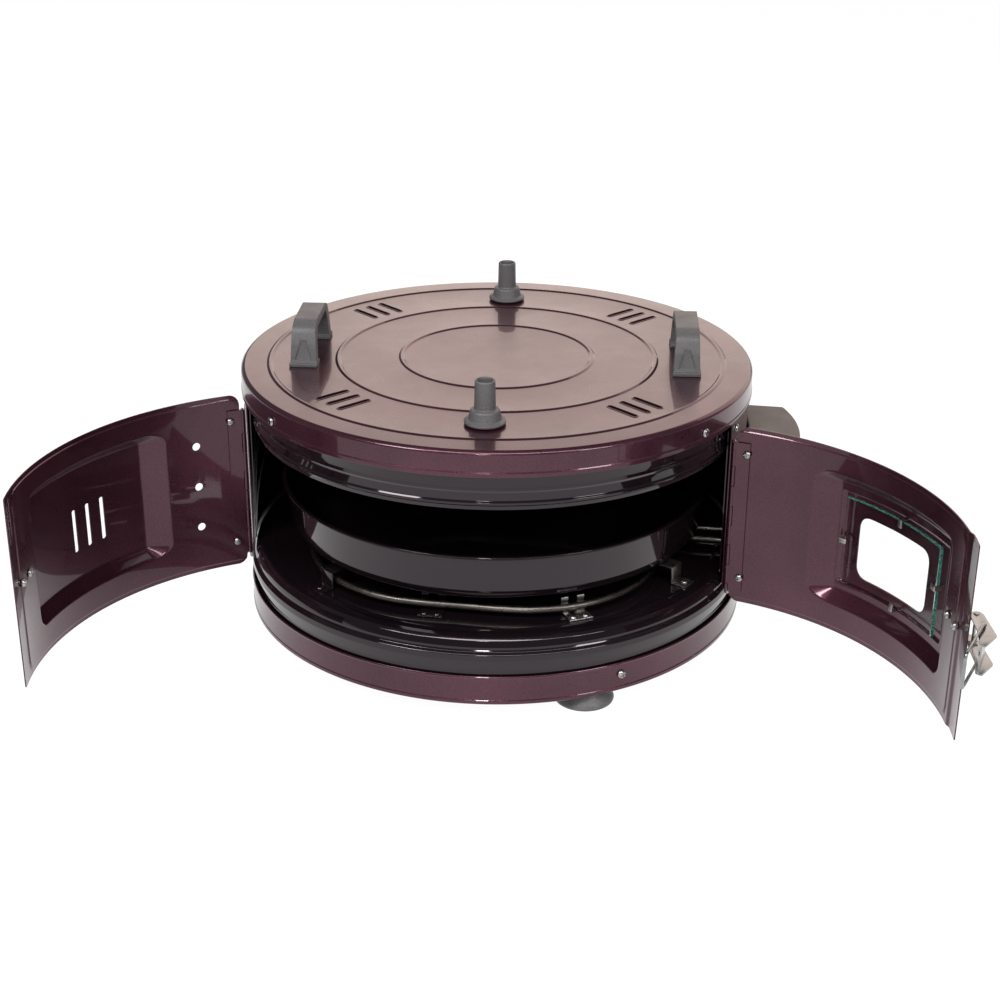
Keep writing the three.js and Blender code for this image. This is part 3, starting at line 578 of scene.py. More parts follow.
def make_vent(end, y):
    outline = [
        (6.4, -3), (12.3, -3), (12.3, 0.5), (13.2, 1.1), (15.9, 0.6, 0.8), (17.4, 1.6, 0.8),
        (17.4, 3.1, 0.8),
    ]
    outline += [
        (15.2, 4.4, 1), (13.9, 4.7, 0.8), (12.4, 11.4, 1.2), (11.6, 13, 1), (9.3, 13.2, 0.6),
        (8.9, 14.4, 0.5),
    ]
    outline += [(8.4, 36.9, 0.6), (7.8, 38, 0.5), (6.9, 37.9, 0.5), (6.4, 36.6, 0.5)]
    made = lathe("steam_vent_" + end + "_moulding", outline, 0.4, 64, LID @ shift(0, y, LID_TOP))
    finish_piece(made, "dark_plastic", "oven_body", ["steam_vent_" + end])


def make_handle(side, x):
    """A moulded bow: a strap bent down into two legs, each with a sunk tapering panel and a foot flange."""
    outer = [
        (0, 37.5), (24, 37.5, 16), (36.8, 33.4, 12), (41.6, 19, 16), (44.4, 3.6, 0.8), (47.5, 3.1, 0.8),
        (47.5, 0, 0),
    ]
    inner = [(30.5, 0, 0), (30.5, 3, 0.6), (33.4, 3.6, 0.8), (30.8, 20, 8), (24.5, 30.4, 8), (0, 30.4)]
    right = [(y, z, *(more or [0.8])) for y, z, *more in outer[1:] + inner[:-1]]
    left = [(-y, z, radius) for y, z, radius in reversed(right)]
    stand = LID @ shift(x, 1.5, LID_TOP + 0.3)
    made = prism(
        "handle_" + side + "_moulding",
        fillet(right + left, 0.8, closed=True, turns=6),
        -12.4,
        12.4,
        stand @ turn_z(90) @ FRONT,
    )
    for vertex in made.data.vertices:
        at = stand.inverted() @ (vertex.co / MM)
        at.x *= 1 - 0.06 * min(1, max(0, at.z - 3.15) / 0.3) - 0.12 * min(1, max(0, at.z - 3.15) / 34)
        vertex.co = (stand @ at) * MM
    panels = []
    for way in (-1, 1):
        shape = fillet([(-7.6, -8), (7.6, -8), (2.6, 9.5), (-2.6, 9.5)], 1.5, closed=True)
        face = stand @ shift(0, way * 42.7, 13) @ Matrix.Rotation(rad(way * 10), 4, "X") @ FRONT
        panels.append(prism("panel", shape, -1, 1, face))
    cut(made, *panels)
    soften(made, 1.7, 35, 4)
    finish_piece(made, "dark_plastic", "oven_body", ["handle_" + side], 40)


def pan_head(name, place, body, radius=3.8, height=2.6, shank=3.3, replaces=(), material="zinc_steel"):
    """A pan-head screw with a cross recess. Its head stands up Z from the place."""
    outline = [
        (0, -shank, 0), (2, -shank, 0.2), (2, 0, 0), (radius, 0, 0.2), (radius, height * 0.4, 0.8),
        (radius * 0.72, height * 0.92, 1.2), (0, height, 0),
    ]
    made = lathe(name, outline, 0.3, 32, place)
    bars = []
    for angle in (20, 110):
        bars.append(
            box(
                "bar",
                (-radius * 0.55, -0.45, height - 1.2),
                (radius * 0.55, 0.45, height + 1),
                place @ turn_z(angle),
            ),
        )
    cut(made, *bars)
    return finish_piece(made, material, body, replaces, 40)


def make_lid_screws():
    names = ("front_left", "front_right", "rear_right", "rear_left")
    for name, angle in zip(names, LID_SCREW_ANGLES):
        place = LID @ turn_z(angle) @ shift(0, -(LID_R + 0.3), 214) @ FRONT
        pan_head("lid_screw_" + name + "_head", place, "oven_body", replaces=["lid_screw_" + name])


# ---------- drum ----------
def make_pans():
    upper = [
        (0, 226, 0), (223.2, 226, 2), (226.2, 223.4, 2), (226.2, 213, 4), (222.2, 197.5, 5),
        (221.4, 193.2, 2), (221.9, 190.6, 2),
    ]
    upper += [
        (220.6, 188.4, 2), (220.6, 181.4, 1.2), (221.7, 179.9, 0.8), (221.7, 178.1, 0.8),
        (220.4, 176.6, 1), (219.6, 173.1, 0.3),
    ]
    upper += [
        (218.6, 173.1, 0.3), (219.2, 190.3, 3), (225, 214.2, 3), (225, 223, 2), (222.9, 224.8, 1),
        (0, 224.8, 0),
    ]
    made = lathe("upper_pan_pressing", upper)
    bores = [post("bore", 12.6, 220, 230, 48, LID @ shift(0, side * VENT_Y)) for side in (-1, 1)]
    cut(made, *bores)
    finish_piece(made, "black_enamel", "oven_body", ["upper_pan"])

    lower = [
        (0, 58.7, 0), (207, 58.7, 1), (209, 59.2, 1), (211, 58.7, 1), (217, 58.5, 3), (221, 57.6, 3),
        (223.3, 55.4, 1.2),
    ]
    lower += [
        (224.4, 52.6, 2), (225.2, 50, 1.2), (225.4, 48, 1.2), (226.2, 46.6, 1.2), (228.8, 44.6, 1.4),
        (229.1, 39.4, 1.2),
    ]
    lower += [
        (227.9, 34, 8), (227, 29, 4), (227, 20, 0.3), (225.8, 20, 0.3), (225.8, 31.6, 1),
        (227.7, 33.8, 1),
    ]
    lower += [(227.8, 43.6, 1), (224.6, 47, 1.5), (222.2, 54.4, 1.5), (216.4, 57.5, 3), (0, 57.5, 0)]
    made = lathe("lower_pan_pressing", lower)
    finish_piece(made, "black_enamel", "oven_body", ["lower_pan"])

    base = [
        (0, 0, 0), (58, 0, 1), (61, 1, 1), (150, 1, 1), (153, 1.6, 1), (156, 1, 1), (223.6, 1, 1),
        (225.2, -1.8, 1), (229, -1.8, 1), (229.9, -0.9, 0.8),
    ]
    base += [
        (229.9, 1.8, 0.8), (229.4, 2.6, 0.6), (229.4, 22.9, 0.6), (229.9, 23.8, 0.6),
        (229.3, 24.9, 0.5), (228.3, 24.9, 0.4), (228.3, -0.5, 0.6), (226, -0.5, 0.6),
    ]
    base += [(224.5, 2.2, 1), (0, 2.2, 0)]
    made = lathe("base_cover_pressing", base)
    holes = [
        post("hole", 2.4, 224, 236, 16, turn_z(a) @ shift(0, 0, 13.75) @ FRONT) for a in (37, 157, 277)
    ]
    cut(made, *holes)
    finish_piece(made, "cherry_paint", "oven_body", ["base_cover"])
    for name, angle in (("front", 37), ("rear", 157), ("left", 277)):
        place = turn_z(angle) @ shift(0, -229.8, 13.75) @ FRONT
        pan_head(
            "base_screw_" + name + "_head",
            place,
            "oven_body",
            shank=2.5,
            replaces=["base_screw_" + name],
        )


def make_walls():
    angles = steps(DOOR_ANGLE, 360 - DOOR_ANGLE, 144)
    holes = [(y, z) for z in (66, 158) for y in (-12, 12)]
    for name, inner, thickness, low, high, paint in (
        ("outer_wall", 226.8, 1.0, 47.6, 224, "cherry_paint"),
        ("inner_wall", 223.8, 1.0, 61, 196, "black_enamel"),
    ):
        made = arc_sheet(name + "_sheet", angles, low, high, inner, thickness)
        tools = [
            post("hole", 4.05, 215, 235, 24, turn_z(90) @ shift(y, 0, z) @ FRONT) for y, z in holes
        ]
        if name == "outer_wall":
            tools += [
                post("hole", 2.4, 224, 236, 16, LID @ turn_z(a) @ shift(0, 0, 214) @ FRONT)
                for a in (128, 232)
            ]
        cut(made, *tools)
        finish_piece(made, paint, "oven_body", [name])


def make_feet():
    outline = [
        (0, 0.7, 0), (14.6, 0.7, 1), (17.6, -1.6, 2), (19.4, -4.8, 5), (24.6, -11, 3), (26, -13.6, 1),
        (25.4, -15.5, 0.6),
    ]
    outline += [
        (20, -15.5, 0.4), (19, -14.6, 0.4), (8.5, -14.6, 0.4), (7, -15.5, 0.3), (5, -6, 0.5), (0, -6, 0)
    ]
    for name, angle in (("front_right", 31), ("rear_right", 151), ("left", 271)):
        made = lathe("foot_" + name + "_moulding", outline, 0.6, 72, shift(*around(angle, 206)))
        finish_piece(made, "dark_plastic", "oven_body", ["foot_" + name])


# ---------- inside ----------
def element_route(z, terminal_z):
    """A loop of straights and quarter turns whose ends lead out at the control housing."""
    across, along, turn = 36, 62, 120
    right, front = across + turn, along + turn

    def corner(sx, sy, first, last):
        return [
            (sx * across + x, sy * along + y, z)
            for x, y in (around(a, turn) for a in steps(first, last, 6))
        ]

    def lead(side):
        y = 12 * side
        return [
            (238, y, terminal_z), (225, y, terminal_z), (212, y, terminal_z), (196, y, terminal_z),
            (right + 8, y + 4 * side, z), (right, 34 * side, z),
        ]

    route = lead(-1) + corner(1, -1, 90, 0) + [(0, -front, z)] + corner(-1, -1, 0, -90) + [(-right, 0, z)]
    route += corner(-1, 1, -90, -180) + [(0, front, z)]
    return route + corner(1, 1, 180, 90) + list(reversed(lead(1)))


def make_heating():
    made = tube("lower_element_tube", element_route(66, 66), 3.25)
    finish_piece(made, "element_sheath", "oven_body", ["lower_element"])
    made = tube("upper_element_tube", element_route(190, 158), 3.25)
    finish_piece(made, "element_sheath", "oven_body", ["upper_element"])
    fork_r = math.hypot(36, 62) + 120
    # The left clip and its rivets take black enamel as painted shade: they are the same zinc steel as the
    # right clip, only darker because the left side lies in shade.
    for name, place, paint in (
        ("left", shift(-25, -182), "black_enamel"),
        ("right", turn_z(30) @ shift(0, -fork_r), "zinc_steel"),
    ):
        side = [(-13, 59), (-13, 60.2), (6.4, 60.2), (6.4, 72.3), (7.6, 72.3), (7.6, 59)]
        across = place @ turn_z(90) @ FRONT
        made = prism(
            "element_clip_" + name + "_strap", fillet(side, 0.9, closed=True), -10.5, 10.5, across
        )
        fork = fillet([(-4.2, 62.6, 4), (4.2, 62.6, 4), (4.2, 76, 0), (-4.2, 76, 0)], 4, closed=True)
        cut(made, prism("notch", fork, -10, -4, place @ FRONT))
        finish_piece(made, paint, "oven_body", ["element_clip_" + name])
        for i, x in enumerate((-5.5, 5.5)):
            rivet_place = place @ shift(x, -9, 60.2)
            pan_head(
                "element_clip_" + name + "_rivet_" + str(i + 1),
                rivet_place,
                "oven_body",
                3,
                1.8,
                1.0,
                material=paint,
            )
    rest = [
        (212, 59), (212, 60.2), (198, 60.2), (198, 75), (178, 75), (178, 73.8), (196.8, 73.8),
        (196.8, 59),
    ]
    for name, angle in (
        ("front_right", 63), ("rear_right", 141), ("rear_left", 243), ("front_left", 321)
    ):
        place = turn_z(angle - 90)
        made = prism(
            "tray_rest_" + name + "_strap",
            fillet([(r, z, 1) for r, z in rest], 1, closed=True),
            -8,
            8,
            place @ FRONT,
        )
        soften(made, 0.25, 50, 2)
        # Black enamel on the left rests and their rivets is painted shade: they are the same zinc steel as
        # the right rests, only darker because the left side lies in shade.
        paint = "black_enamel" if "left" in name else "zinc_steel"
        finish_piece(made, paint, "oven_body", ["tray_rest_" + name])
        pan_head(
            "tray_rest_" + name + "_rivet",
            place @ shift(206, 0, 60.2),
            "oven_body",
            3,
            1.8,
            1.0,
            material=paint,
        )


def make_tray():
    outline = [
        (0, 75.3, 0), (182, 75.3, 4), (190.4, 79, 6), (192.2, 86, 4), (194.6, 116.8, 1.5),
        (197.6, 117.4, 0.8), (198.2, 118.4, 0.5),
    ]
    outline += [
        (197.8, 119.4, 0.4), (193.9, 119.3, 1.2), (193.4, 118, 1), (190.9, 86.2, 4), (189.2, 80, 5),
        (181.8, 76.4, 4), (0, 76.4, 0),
    ]
    made = lathe("baking_tray_pressing", outline)
    finish_piece(made, "black_enamel", "baking_tray", ["baking_tray"])


# ---------- doors ----------
def door_place(side, opened):
    """Carries a point of the shut door to where the open door stands."""
    x, y = around(side * DOOR_ANGLE, PIN_R)
    return shift(x, y) @ turn_z(side * opened) @ shift(-x, -y)


LEFT = door_place(-1, LEFT_OPEN)
RIGHT = door_place(1, RIGHT_OPEN)
MIRROR = Matrix.Scale(-1, 4, Vector((1, 0, 0)))
ARC_MM = math.pi * DOOR_IN / 180  # millimetres along the door for one degree


def fold(t, rounding=0.2):
    """A straight ramp from 0 to 1 whose two ends are rounded off."""
    t = min(1, max(0, t))
    slope = 1 / (1 - rounding)
    if t < rounding:
        return slope * t * t / (2 * rounding)
    if t > 1 - rounding:
        return 1 - slope * (1 - t) ** 2 / (2 * rounding)
    return slope * (t - rounding / 2)


def inset(angle, z, left, right, low, high, radius):
    """How far inside a rectangle with rounded corners a point of a door lies."""
    across = min(angle - left, right - angle) * ARC_MM
    upward = min(z - low, high - z)
    if across < radius and upward < radius:
        return radius - math.hypot(radius - across, radius - upward)
    return min(across, upward)


def pressed(angle, z, left, right, low, high, slopes):
    """How far a pressed panel with rounded corners has risen, 0 to 1. Slopes are four widths."""
    inside = (
        (angle - left) * ARC_MM / slopes[0],
        (right - angle) * ARC_MM / slopes[1],
        (z - low) / slopes[2],
        (high - z) / slopes[3],
    )
    across = max(0, 1 - min(inside[0], inside[1]))
    upward = max(0, 1 - min(inside[2], inside[3]))
    return fold(1 - math.hypot(across, upward))


DOOR_START = 71.35
DOOR_END = -2.1
DOOR_LOW = 35.5
DOOR_HIGH = 202


def corner_trim(gap, radius):
    """How much a rounded corner takes off at a distance from the panel's end."""
    return radius - math.sqrt(max(0, radius**2 - max(0, radius - gap) ** 2))


def door_skin(joggle, border, pocket):
    """The shape of a right-hand door's sheet: pressed panel, stepped free edge and coined border."""

    def skin(angle, v, side):
        trim = corner_trim(
            (DOOR_START - angle) * ARC_MM, 9
        ) + corner_trim((angle - DOOR_END) * ARC_MM, 1)
        z = DOOR_LOW + trim + (DOOR_HIGH - DOOR_LOW - 2 * trim) * v
        out = 9 * pressed(angle, z, 11, 54, 60, 182, (10, 24, 12, 12))
        out += joggle * fold((4.2 - angle) / 1.6, 0.4)
        out += pocket * 1.6 * pressed(angle, z, 16.2, 47.8, 78.5, 164.5, (2.5, 2.5, 2.5, 2.5))
        out += 0.8 * fold(1 - inset(angle, z, border, 80, DOOR_LOW + 3.4, DOOR_HIGH - 3.4, 9) / 1.3)
        return (*around(angle, DOOR_IN + 0.1 + out + side * SHEET), z)

    return skin


def chained(*spans):
    """Runs of even steps, end to end."""
    values = [spans[0][0]]
    for first, last, count in spans:
        values += steps(first, last, count)[1:]
    return values


def door_sheet(name, skin, place):
    fine = chained(
        (DOOR_END, 3, 18), (3, 15.5, 60), (15.5, 17.5, 14), (17.5, 46.5, 44), (46.5, 55, 44),
        (55, 69, 28), (69, DOOR_START, 16),
    )
    heights = chained(
        (DOOR_LOW, 41, 12), (41, 58, 8), (58, 82, 34), (82, 161, 26), (161, 184, 32), (184, 196, 6),
        (196, DOOR_HIGH, 12),
    )
    rows = [(z - DOOR_LOW) / (DOOR_HIGH - DOOR_LOW) for z in heights]
    return grid_shell(name, fine, rows, skin, place)


def radial_slot(angle, x, z, width, height, place):
    outline = [
        (x - width / 2, z - height / 2), (x + width / 2, z - height / 2),
        (x + width / 2, z + height / 2), (x - width / 2, z + height / 2),
    ]
    return prism(
        "slot",
        fillet(outline, width * 0.48, closed=True, turns=8),
        222,
        252,
        place @ turn_z(angle) @ FRONT,
    )


def make_left_door():
    made = door_sheet("left_door_sheet", door_skin(0, 2.4, 0), LEFT @ MIRROR)
    flip = LEFT @ MIRROR
    tools = [radial_slot(a, 0, 115.5, 4.4, 39.5, flip) for a in (29.8, 33.8, 37.8)]
    tools += [
        post("hole", 3.7, 222, 242, 40, flip @ turn_z(61) @ shift(0, 0, z) @ FRONT)
        for z in (80.5, 120, 159)
    ]
    tools += [
        post("hole", 1.9, 222, 242, 20, LEFT @ turn_z(KEEPER_ANGLE) @ shift(x, 0, KEEPER_Z) @ FRONT)
        for x in KEEPER_RIVETS
    ]
    cut(made, *tools)
    finish_piece(made, "cherry_paint", "left_door", ["left_door_panel"])


def make_right_door():
    made = door_sheet("right_door_sheet", door_skin(1.7, 5, 1), RIGHT)
    window = fillet([(-42, 89.1), (42, 89.1), (42, 146.1), (-42, 146.1)], 12, closed=True, turns=10)
    tools = [prism("window", window, 200, 262, RIGHT @ turn_z(33.3) @ FRONT)]
    tools += [
        post("hole", 1.9, 222, 242, 20, RIGHT @ turn_z(LATCH_ANGLE) @ shift(x, 0, LATCH_Z) @ FRONT)
        for x in LATCH_RIVETS
    ]
    cut(made, *tools)
    finish_piece(made, "cherry_paint", "right_door", ["right_door_panel"])
    make_window()


def make_window():
    """The pane, its ground green edge, and the four bent tabs that hold it."""
    angles = steps(18.1, 45.9, 56)
    inner = 234.9
    low, high = 82.6, 160.4
    pane = arc_sheet("window_pane", angles, low, high, inner, 3.0, RIGHT)
    finish_piece(pane, "clear_glass", "right_door", ["window_glass"])
    top_edge = arc_sheet(
        "window_pane_top_edge", steps(18, 46, 56), high + 0.05, high + 0.5, inner + 0.2, 2.6, RIGHT
    )
    side_edge = arc_sheet(
        "window_pane_side_edge", steps(17.94, 18.06, 2), low, high + 0.05, inner + 0.2, 2.6, RIGHT
    )
    for rim in (top_edge, side_edge):
        finish_piece(rim, "glass_edge", "right_door")
    tabs = (
        (46.5, 121.5, 0),
        (17.5, 127, 180),
        (31, 162.4, 90),
        (31, 80.6, 270),
    )
    for i, (angle, z, turned) in enumerate(tabs):
        side = [
            (1.2, 240), (1.2, 232.2), (0.6, 231.6), (-5.6, 231.8), (-6.4, 232.6), (-5.4, 233.2),
            (0, 233), (0, 240),
        ]
        outline = fillet([(x, r - 236, 0.5) for x, r in side], 0.5, closed=True)
        stand = RIGHT @ turn_z(angle) @ shift(0, -236, z) @ FRONT @ turn_z(turned)
        tab = prism(
            "pane_tab_" + str(i + 1), outline, -2.2, 2.2, stand @ Matrix.Rotation(rad(90), 4, "X")
        )
        soften(tab, 0.25, 50, 2)
        finish_piece(tab, "zinc_steel", "right_door")


KNUCKLE_ENDS = (46.5, 52.6, 71.4, 90.2, 109, 127.8, 146.6, 165.4, 188)


def make_hinges():
    """A strip of alternating knuckles on a pin, with a leaf on each side of it."""
    low, high = KNUCKLE_ENDS[0], KNUCKLE_ENDS[-1]
    for name, side, door in (("left", -1, LEFT), ("right", 1, RIGHT)):
        for part, way, inner, parity, place, body in (
            ("body", 1, 228.2, 0, Matrix.Identity(4), "oven_body"),
            ("door", -1, 229.0, 1, door, name + "_door"),
        ):
            stand = place @ turn_z(side * DOOR_ANGLE)
            reach = 3.4 if part == "body" else 3.5
            angles = sorted(side * way * a for a in steps(0.35, reach, 8))
            made = arc_sheet(name + "_hinge_" + part + "_strap", angles, low, high, inner, 1.1, stand)
            gaps = []
            knuckles = []
            for k, (bottom, top) in enumerate(zip(KNUCKLE_ENDS, KNUCKLE_ENDS[1:])):
                if k % 2 == parity:
                    knuckles.append(
                        post("knuckle", 2.2, bottom + 0.35, top - 0.35, 24, stand @ shift(0, -PIN_R))
                    )
                else:
                    gaps.append(post("gap", 3.0, bottom - 0.1, top + 0.1, 24, stand @ shift(0, -PIN_R)))
            cut(made, *gaps)
            join(made, *knuckles)
            cut(made, post("bore", 1.35, 40, 210, 16, stand @ shift(0, -PIN_R)))
            finish_piece(
                made, "cherry_paint", body, [name + "_hinge_" + part + "_leaf"], 40
            )
        x, y = around(side * DOOR_ANGLE, PIN_R)
        pin = lathe(
            name + "_hinge_rod",
            [(0, 45.5, 0), (1.1, 45.5, 0.3), (1.1, 189, 0.3), (0, 189, 0)],
            0.3,
            24,
            shift(x, y),
        )
        finish_piece(pin, "zinc_steel", "oven_body", [name + "_hinge_pin"])
        for end, z in (("lower", 60), ("upper", 178)):
            inward = door @ turn_z(
                side * (DOOR_ANGLE - 2.9)
            ) @ shift(0, -228.6, z) @ Matrix.Rotation(rad(-90), 4, "X")
            pan_head(
                name + "_leaf_screw_" + end + "_head",
                inward,
                name + "_door",
                3.4,
                2.2,
                0.4,
                [name + "_leaf_screw_" + end],
            )
        for end, z, inner in (("lower", 40.5, 229), ("upper", 196.5, 227.8)):
            outward = turn_z(side * (DOOR_ANGLE + 2.3)) @ shift(0, -inner, z) @ FRONT
            pan_head(name + "_wall_screw_" + end, outward, "oven_body", 3.6, 2.6, 0.8)


# ---------- latch and keeper ----------
LATCH = RIGHT @ turn_z(LATCH_ANGLE) @ shift(0, 0, LATCH_Z)
KEEPER = LEFT @ turn_z(KEEPER_ANGLE) @ shift(0, 0, KEEPER_Z)


def off_face(outline):
    """[along, out] points measured from the door's outer face, as X and Y."""
    return [(x, -(DOOR_OUT + out), *more) for x, out, *more in outline]


def dome(name, place, body, replaces):
    """A rivet through the sheet, with a shallow dome on both sides."""
    base = DOOR_OUT + 1.9
    outline = [
        (0, DOOR_IN - 2.2, 0), (1.1, DOOR_IN - 2.3, 0.3), (1.7, DOOR_IN - 3.2, 0.5),
        (2.6, DOOR_IN - 3.2, 0.6), (3.5, DOOR_IN - 1.4, 0.5), (3.5, DOOR_IN - 0.6, 0.2),
        (1.6, DOOR_IN - 0.6, 0), (1.6, base, 0), (3.3, base, 0.4), (2.2, base + 1.4, 1),
        (0, base + 1.6, 0),
    ]
    made = lathe(name, outline, 0.4, 32, place @ FRONT)
    finish_piece(made, "zinc_steel", body, replaces, 40)


def make_latch():
    plate = fillet([(-12.3, -12), (15, -12), (15, 12), (-12.3, 12)], 3, closed=True)
    base = prism("latch_base_plate", plate, DOOR_OUT + 0.6, DOOR_OUT + 1.8, LATCH @ FRONT)
    ear = off_face([(-12.2, 0.9, 0), (-2, 0.9, 1), (-7, 15, 4), (-16.4, 15.6, 4), (-16.6, 8, 2)])
    ears = [prism("ear", fillet(ear, 2, closed=True), z, z + 1.2, LATCH) for z in (-10.2, 9)]
    join(base, *ears)
    tools = [post("hole", 1.65, -14, 14, 24, LATCH @ shift(*LEVER_PIVOT))]
    tools += [post("hole", 1.9, 225, 240, 20, LATCH @ shift(x) @ FRONT) for x in LATCH_RIVETS]
    cut(base, *tools)
    soften(base, 0.25, 50, 2)
    finish_piece(base, "bright_plating", "right_door", ["latch_base"])
    outline = [
        (0, -13.1, 0), (2.1, -13.1, 0.2), (2.3, -12.8, 0.1), (1.3, -12.8, 0), (1.3, 12.8, 0),
        (2.3, 12.8, 0.1), (2.1, 13.1, 0.2), (0, 13.1, 0),
    ]
    pin = lathe("latch_pivot_rivet", outline, 0.2, 24, LATCH @ shift(*LEVER_PIVOT))
    finish_piece(pin, "zinc_steel", "right_door", ["latch_pin"])
    for i, x in enumerate(LATCH_RIVETS):
        dome(
            "latch_plate_rivet_" + str(i + 1),
            LATCH @ shift(x),
            "right_door",
            ["latch_rivet_" + str(i + 1)],
        )

    ear = off_face(
        [
            (-9.4, 8.6, 3), (-9, 14.6, 3), (-13, 17.2, 3), (-48.6, 16.5, 5), (-64.4, 2.5, 3),
            (-60, -0.9, 3), (-42, 4, 8), (-20, 6, 8),
        ],
    )
    parts = [prism("ear", fillet(ear, 3, closed=True), z, z + 1.2, LATCH) for z in (-12.6, 11.4)]
    web = off_face([(-34, 14.4), (-62.2, 0.9), (-61.6, -0.2), (-33.4, 13.3)])
    lever = join(parts[0], prism("web", web, -12.4, 12.4, LATCH), parts[1])
    lever.name = "latch_lever_pressing"
    cut(
        lever,
        post("hole", 1.6, -14, 14, 24, LATCH @ shift(*LEVER_PIVOT)),
        post("hole", 1.9, -14, 14, 24, LATCH @ shift(*BAIL_PIVOT)),
    )
    soften(lever, 0.25, 50, 2)
    finish_piece(lever, "bright_plating", "latch_lever", ["latch_lever"])

    start, end = BAIL_PIVOT, (-78.5, -(DOOR_OUT - 16.6))

    def along(t, z):
        return (start[0] + t * (end[0] - start[0]), start[1] + t * (end[1] - start[1]), z)

    arm = [
        along(0, 10),
        along(0, 12.4),
        along(0.012, 13.9),
        along(0.05, 14.6),
        along(0.3, 14.6),
        along(0.6, 14.6),
        along(0.9, 14.6),
        along(0.975, 13.8),
        along(1, 11.6),
        along(1, 6),
    ]
    route = arm + [(x, y, -z) for x, y, z in reversed(arm)]
    bail = tube("latch_bail_wire", route, 1.3, LATCH, 16)
    x, y, _ = along(1, 0)
    lean = math.degrees(math.atan2(end[1] - start[1], end[0] - start[0]))
    bar = fillet([(-1.7, -0.9), (1.7, -0.9), (1.7, 0.9), (-1.7, 0.9)], 0.7, closed=True)
    join(bail, prism("bar", bar, -11.5, 11.5, LATCH @ shift(x, y) @ turn_z(lean)))
    finish_piece(bail, "bright_plating", "latch_bail", ["latch_bail"])


def make_keeper():
    plate = fillet([(-12.4, -10), (11.4, -10), (11.4, 10), (-12.4, 10)], 2.5, closed=True)
    made = prism("keeper_plate", plate, DOOR_OUT + 0.6, DOOR_OUT + 1.8, KEEPER @ FRONT)
    hook = off_face(
        [
            (2.4, 1.2, 0), (3.6, 1.2, 0), (3.6, 8.5, 1.6), (-1.6, 8.5, 0.4), (-1.6, 7.3, 0.4),
            (2.4, 7.3, 0.8),
        ],
    )
    join(made, prism("hook", fillet(hook, 1, closed=True), -10, 10, KEEPER))
    cut(made, *[post("hole", 1.9, 225, 240, 20, KEEPER @ shift(x) @ FRONT) for x in KEEPER_RIVETS])
    soften(made, 0.25, 50, 2)
    finish_piece(made, "bright_plating", "left_door", ["keeper"])
    for i, x in enumerate(KEEPER_RIVETS):
        dome(
            "keeper_plate_rivet_" + str(i + 1),
            KEEPER @ shift(x),
            "left_door",
            ["keeper_rivet_" + str(i + 1)],
        )


# ---------- control housing ----------
FACE = shift(FACE_CENTRE_X) @ turn_z(KNOB_TURN)


def housing_plan(inset, drum_radius):
    ys = steps(-44 + inset, 69 - inset, 40)
    outer = [(FACE_CENTRE_X + math.sqrt((FACE_R - inset) ** 2 - y * y), y) for y in ys]
    inner = [(math.sqrt(drum_radius**2 - y * y), y) for y in reversed(ys)]
    return outer + inner


def make_housing():
    made = prism("control_housing_casing", housing_plan(0, 229.6), 45, 170)
    soften(made, 4, 60, 5)
    tools = [prism("hollow", housing_plan(1.6, 224.6), 46.6, 168.4)]
    tools.append(post("hole", 7.3, -6, 6, 32, shift(243, 69, 62) @ FRONT))
    for radius, z in ((4, 136), (4, 80), (4.4, 108)):
        tools.append(post("hole", radius, 140, 170, 32, FACE @ shift(0, 0, z) @ OUT_RIGHT))
    cut(made, *tools)
    finish_piece(made, "housing_paint", "oven_body", ["control_housing"])


def make_knob(name, z):
    """A skirted knob with a fluted side and a tapered grip."""
    base = FACE_R + 1.6
    outline = [
        (3.3, base, 0), (17, base, 0), (19, base, 0.6), (19, base + 2.6, 1), (16.8, base + 4, 1),
        (15.6, base + 12, 1.6), (0, base + 13, 0), (0, base + 11, 0), (3.3, base + 11, 0),
    ]
    place = FACE @ shift(0, 0, z) @ OUT_RIGHT
    body = lathe(
        name + "_moulding", outline[:6] + [(3.2, base + 12.6, 0.4), (3.2, base + 11, 0)], 0.6, 96, place
    )
    cap = post("cap", 3.4, base + 10.8, base + 12.8, 32, place)
    grip_plan = fillet([(-15.6, -2.6), (15.6, -3.6), (15.6, 3.6), (-15.6, 2.6)], 2, closed=True)
    grip = prism("grip", grip_plan, base + 10.9, base + 19, place @ turn_z(90))
    join(body, cap, grip)
    flutes = [
        post("flute", 0.9, base + 4.4, base + 20, 12, place @ turn_z(360 * k / 24) @ shift(16.9))
        for k in range(24)
    ]
    cut(body, *flutes)
    soften(body, 0.35, 45, 2)
    finish_piece(body, "dark_plastic", name, [name], 40)


def make_controls():
    make_knob("thermostat_knob", 136)
    make_knob("selector_knob", 80)
    outline = [
        (0, -8, 0), (4, -8, 0.4), (4, 0.5, 0), (6, 0.5, 0.3), (6, 1.4, 0.4), (5, 2, 0.4), (4, 3.4, 1),
        (0, 4.2, 0),
    ]
    lamp = lathe("indicator_lamp_lens", outline, 0.4, 48, FACE @ shift(FACE_R, 0, 108) @ OUT_RIGHT)
    finish_piece(lamp, "lamp_lens", "oven_body", ["indicator_lamp"])
    outline = [
        (4.2, -4.5, 0.3), (9.5, -4.5, 0.6), (9.5, -1.9, 0.2), (7, -1.9, 0), (7, 0.3, 0), (10, 0.3, 0.3),
        (10, 2, 0.8), (7, 3.2, 1), (4.2, 3.6, 0.4),
    ]
    inlet = lathe(
        "cord_inlet_grommet", outline, 0.4, 48, shift(243, 69, 62) @ Matrix.Rotation(rad(-90), 4, "X")
    )
    finish_piece(inlet, "black_rubber", "oven_body", ["cord_inlet"])


CARRIED = {
    "thermostat": "zinc_steel",
    "selector_switch": "dark_plastic",
    "upper_element_hanger": "zinc_steel",
}


def dress_carried():
    for name, material in CARRIED.items():
        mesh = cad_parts[name].data
        mesh.materials.clear()
        mesh.materials.append(MATERIALS[material])


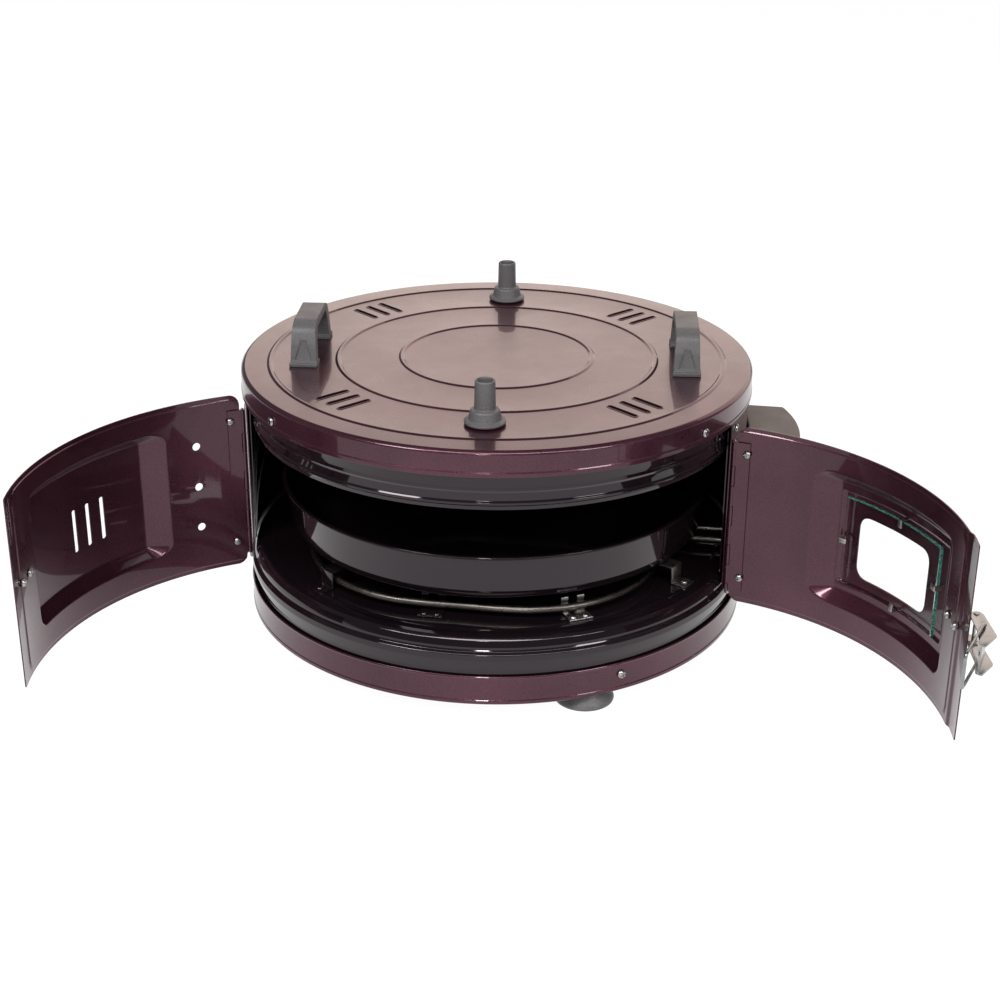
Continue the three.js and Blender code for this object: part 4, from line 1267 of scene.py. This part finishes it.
# ---------- stage ----------
def make_floor():
    points = [(-9000, -9000, -15.5), (9000, -9000, -15.5), (9000, 9000, -15.5), (-9000, 9000, -15.5)]
    floor = build("floor", points, [[0, 1, 2, 3]])
    material, shader, where = new_material("pale_floor")
    grain = noise(material, where, 30, 3)
    vary(material, shader, "Base Color", grain, [(0.3, (0.1, 0.1, 0.1)), (0.7, (0.12, 0.12, 0.12))])
    shader.inputs["Emission Color"].default_value = (1, 1, 1, 1)
    shader.inputs["Emission Strength"].default_value = 0.96
    shader.inputs["Roughness"].default_value = 0.7
    shader.inputs["Specular IOR Level"].default_value = 0.2
    floor.data.materials.append(material)


def area_light(name, at, target, size, watts, tall=None):
    data = bpy.data.lights.new(name, "AREA")
    data.energy = watts
    data.size = size
    if tall:
        data.shape = "RECTANGLE"
        data.size_y = tall
    lamp = bpy.data.objects.new(name, data)
    bpy.context.scene.collection.objects.link(lamp)
    lamp.location = at
    lamp.rotation_euler = (Vector(target) - Vector(at)).to_track_quat("-Z", "Y").to_euler()
    return lamp


def make_light():
    world = bpy.data.worlds.new("studio")
    bpy.context.scene.world = world
    world.use_nodes = True
    world.node_tree.nodes["Background"].inputs["Color"].default_value = (1, 1, 1, 1)
    world.node_tree.nodes["Background"].inputs["Strength"].default_value = 0.16
    area_light("key", (-1.5, -1.9, 2.3), (0, 0, 0.1), 0.9, 40)
    area_light("fill", (2.2, -1.7, 1.6), (0.1, 0, 0.1), 0.7, 22)
    area_light("strip", (0.15, -1.5, 2.3), (0, 0, 0.1), 3.4, 46, tall=0.35)
    area_light("window", (0.15, -2.3, 1.15), (0, 0, 0.1), 0.22, 9)
    back = area_light("back", (0.7, 2.6, 1.55), (0.2, 0, 0.3), 4.6, 50, tall=2.3)
    back.data.color = (1, 0.84, 0.74)
    bpy.context.scene.view_settings.view_transform = "Standard"


make_camera()
make_floor()
make_light()
make_lid()
make_vent("front", -VENT_Y)
make_vent("rear", VENT_Y)
make_handle("left", -169.5)
make_handle("right", 169.5)
make_lid_screws()
make_pans()
make_walls()
make_feet()
make_heating()
make_tray()
make_left_door()
make_right_door()
make_hinges()
make_latch()
make_keeper()
make_housing()
make_controls()
dress_carried()
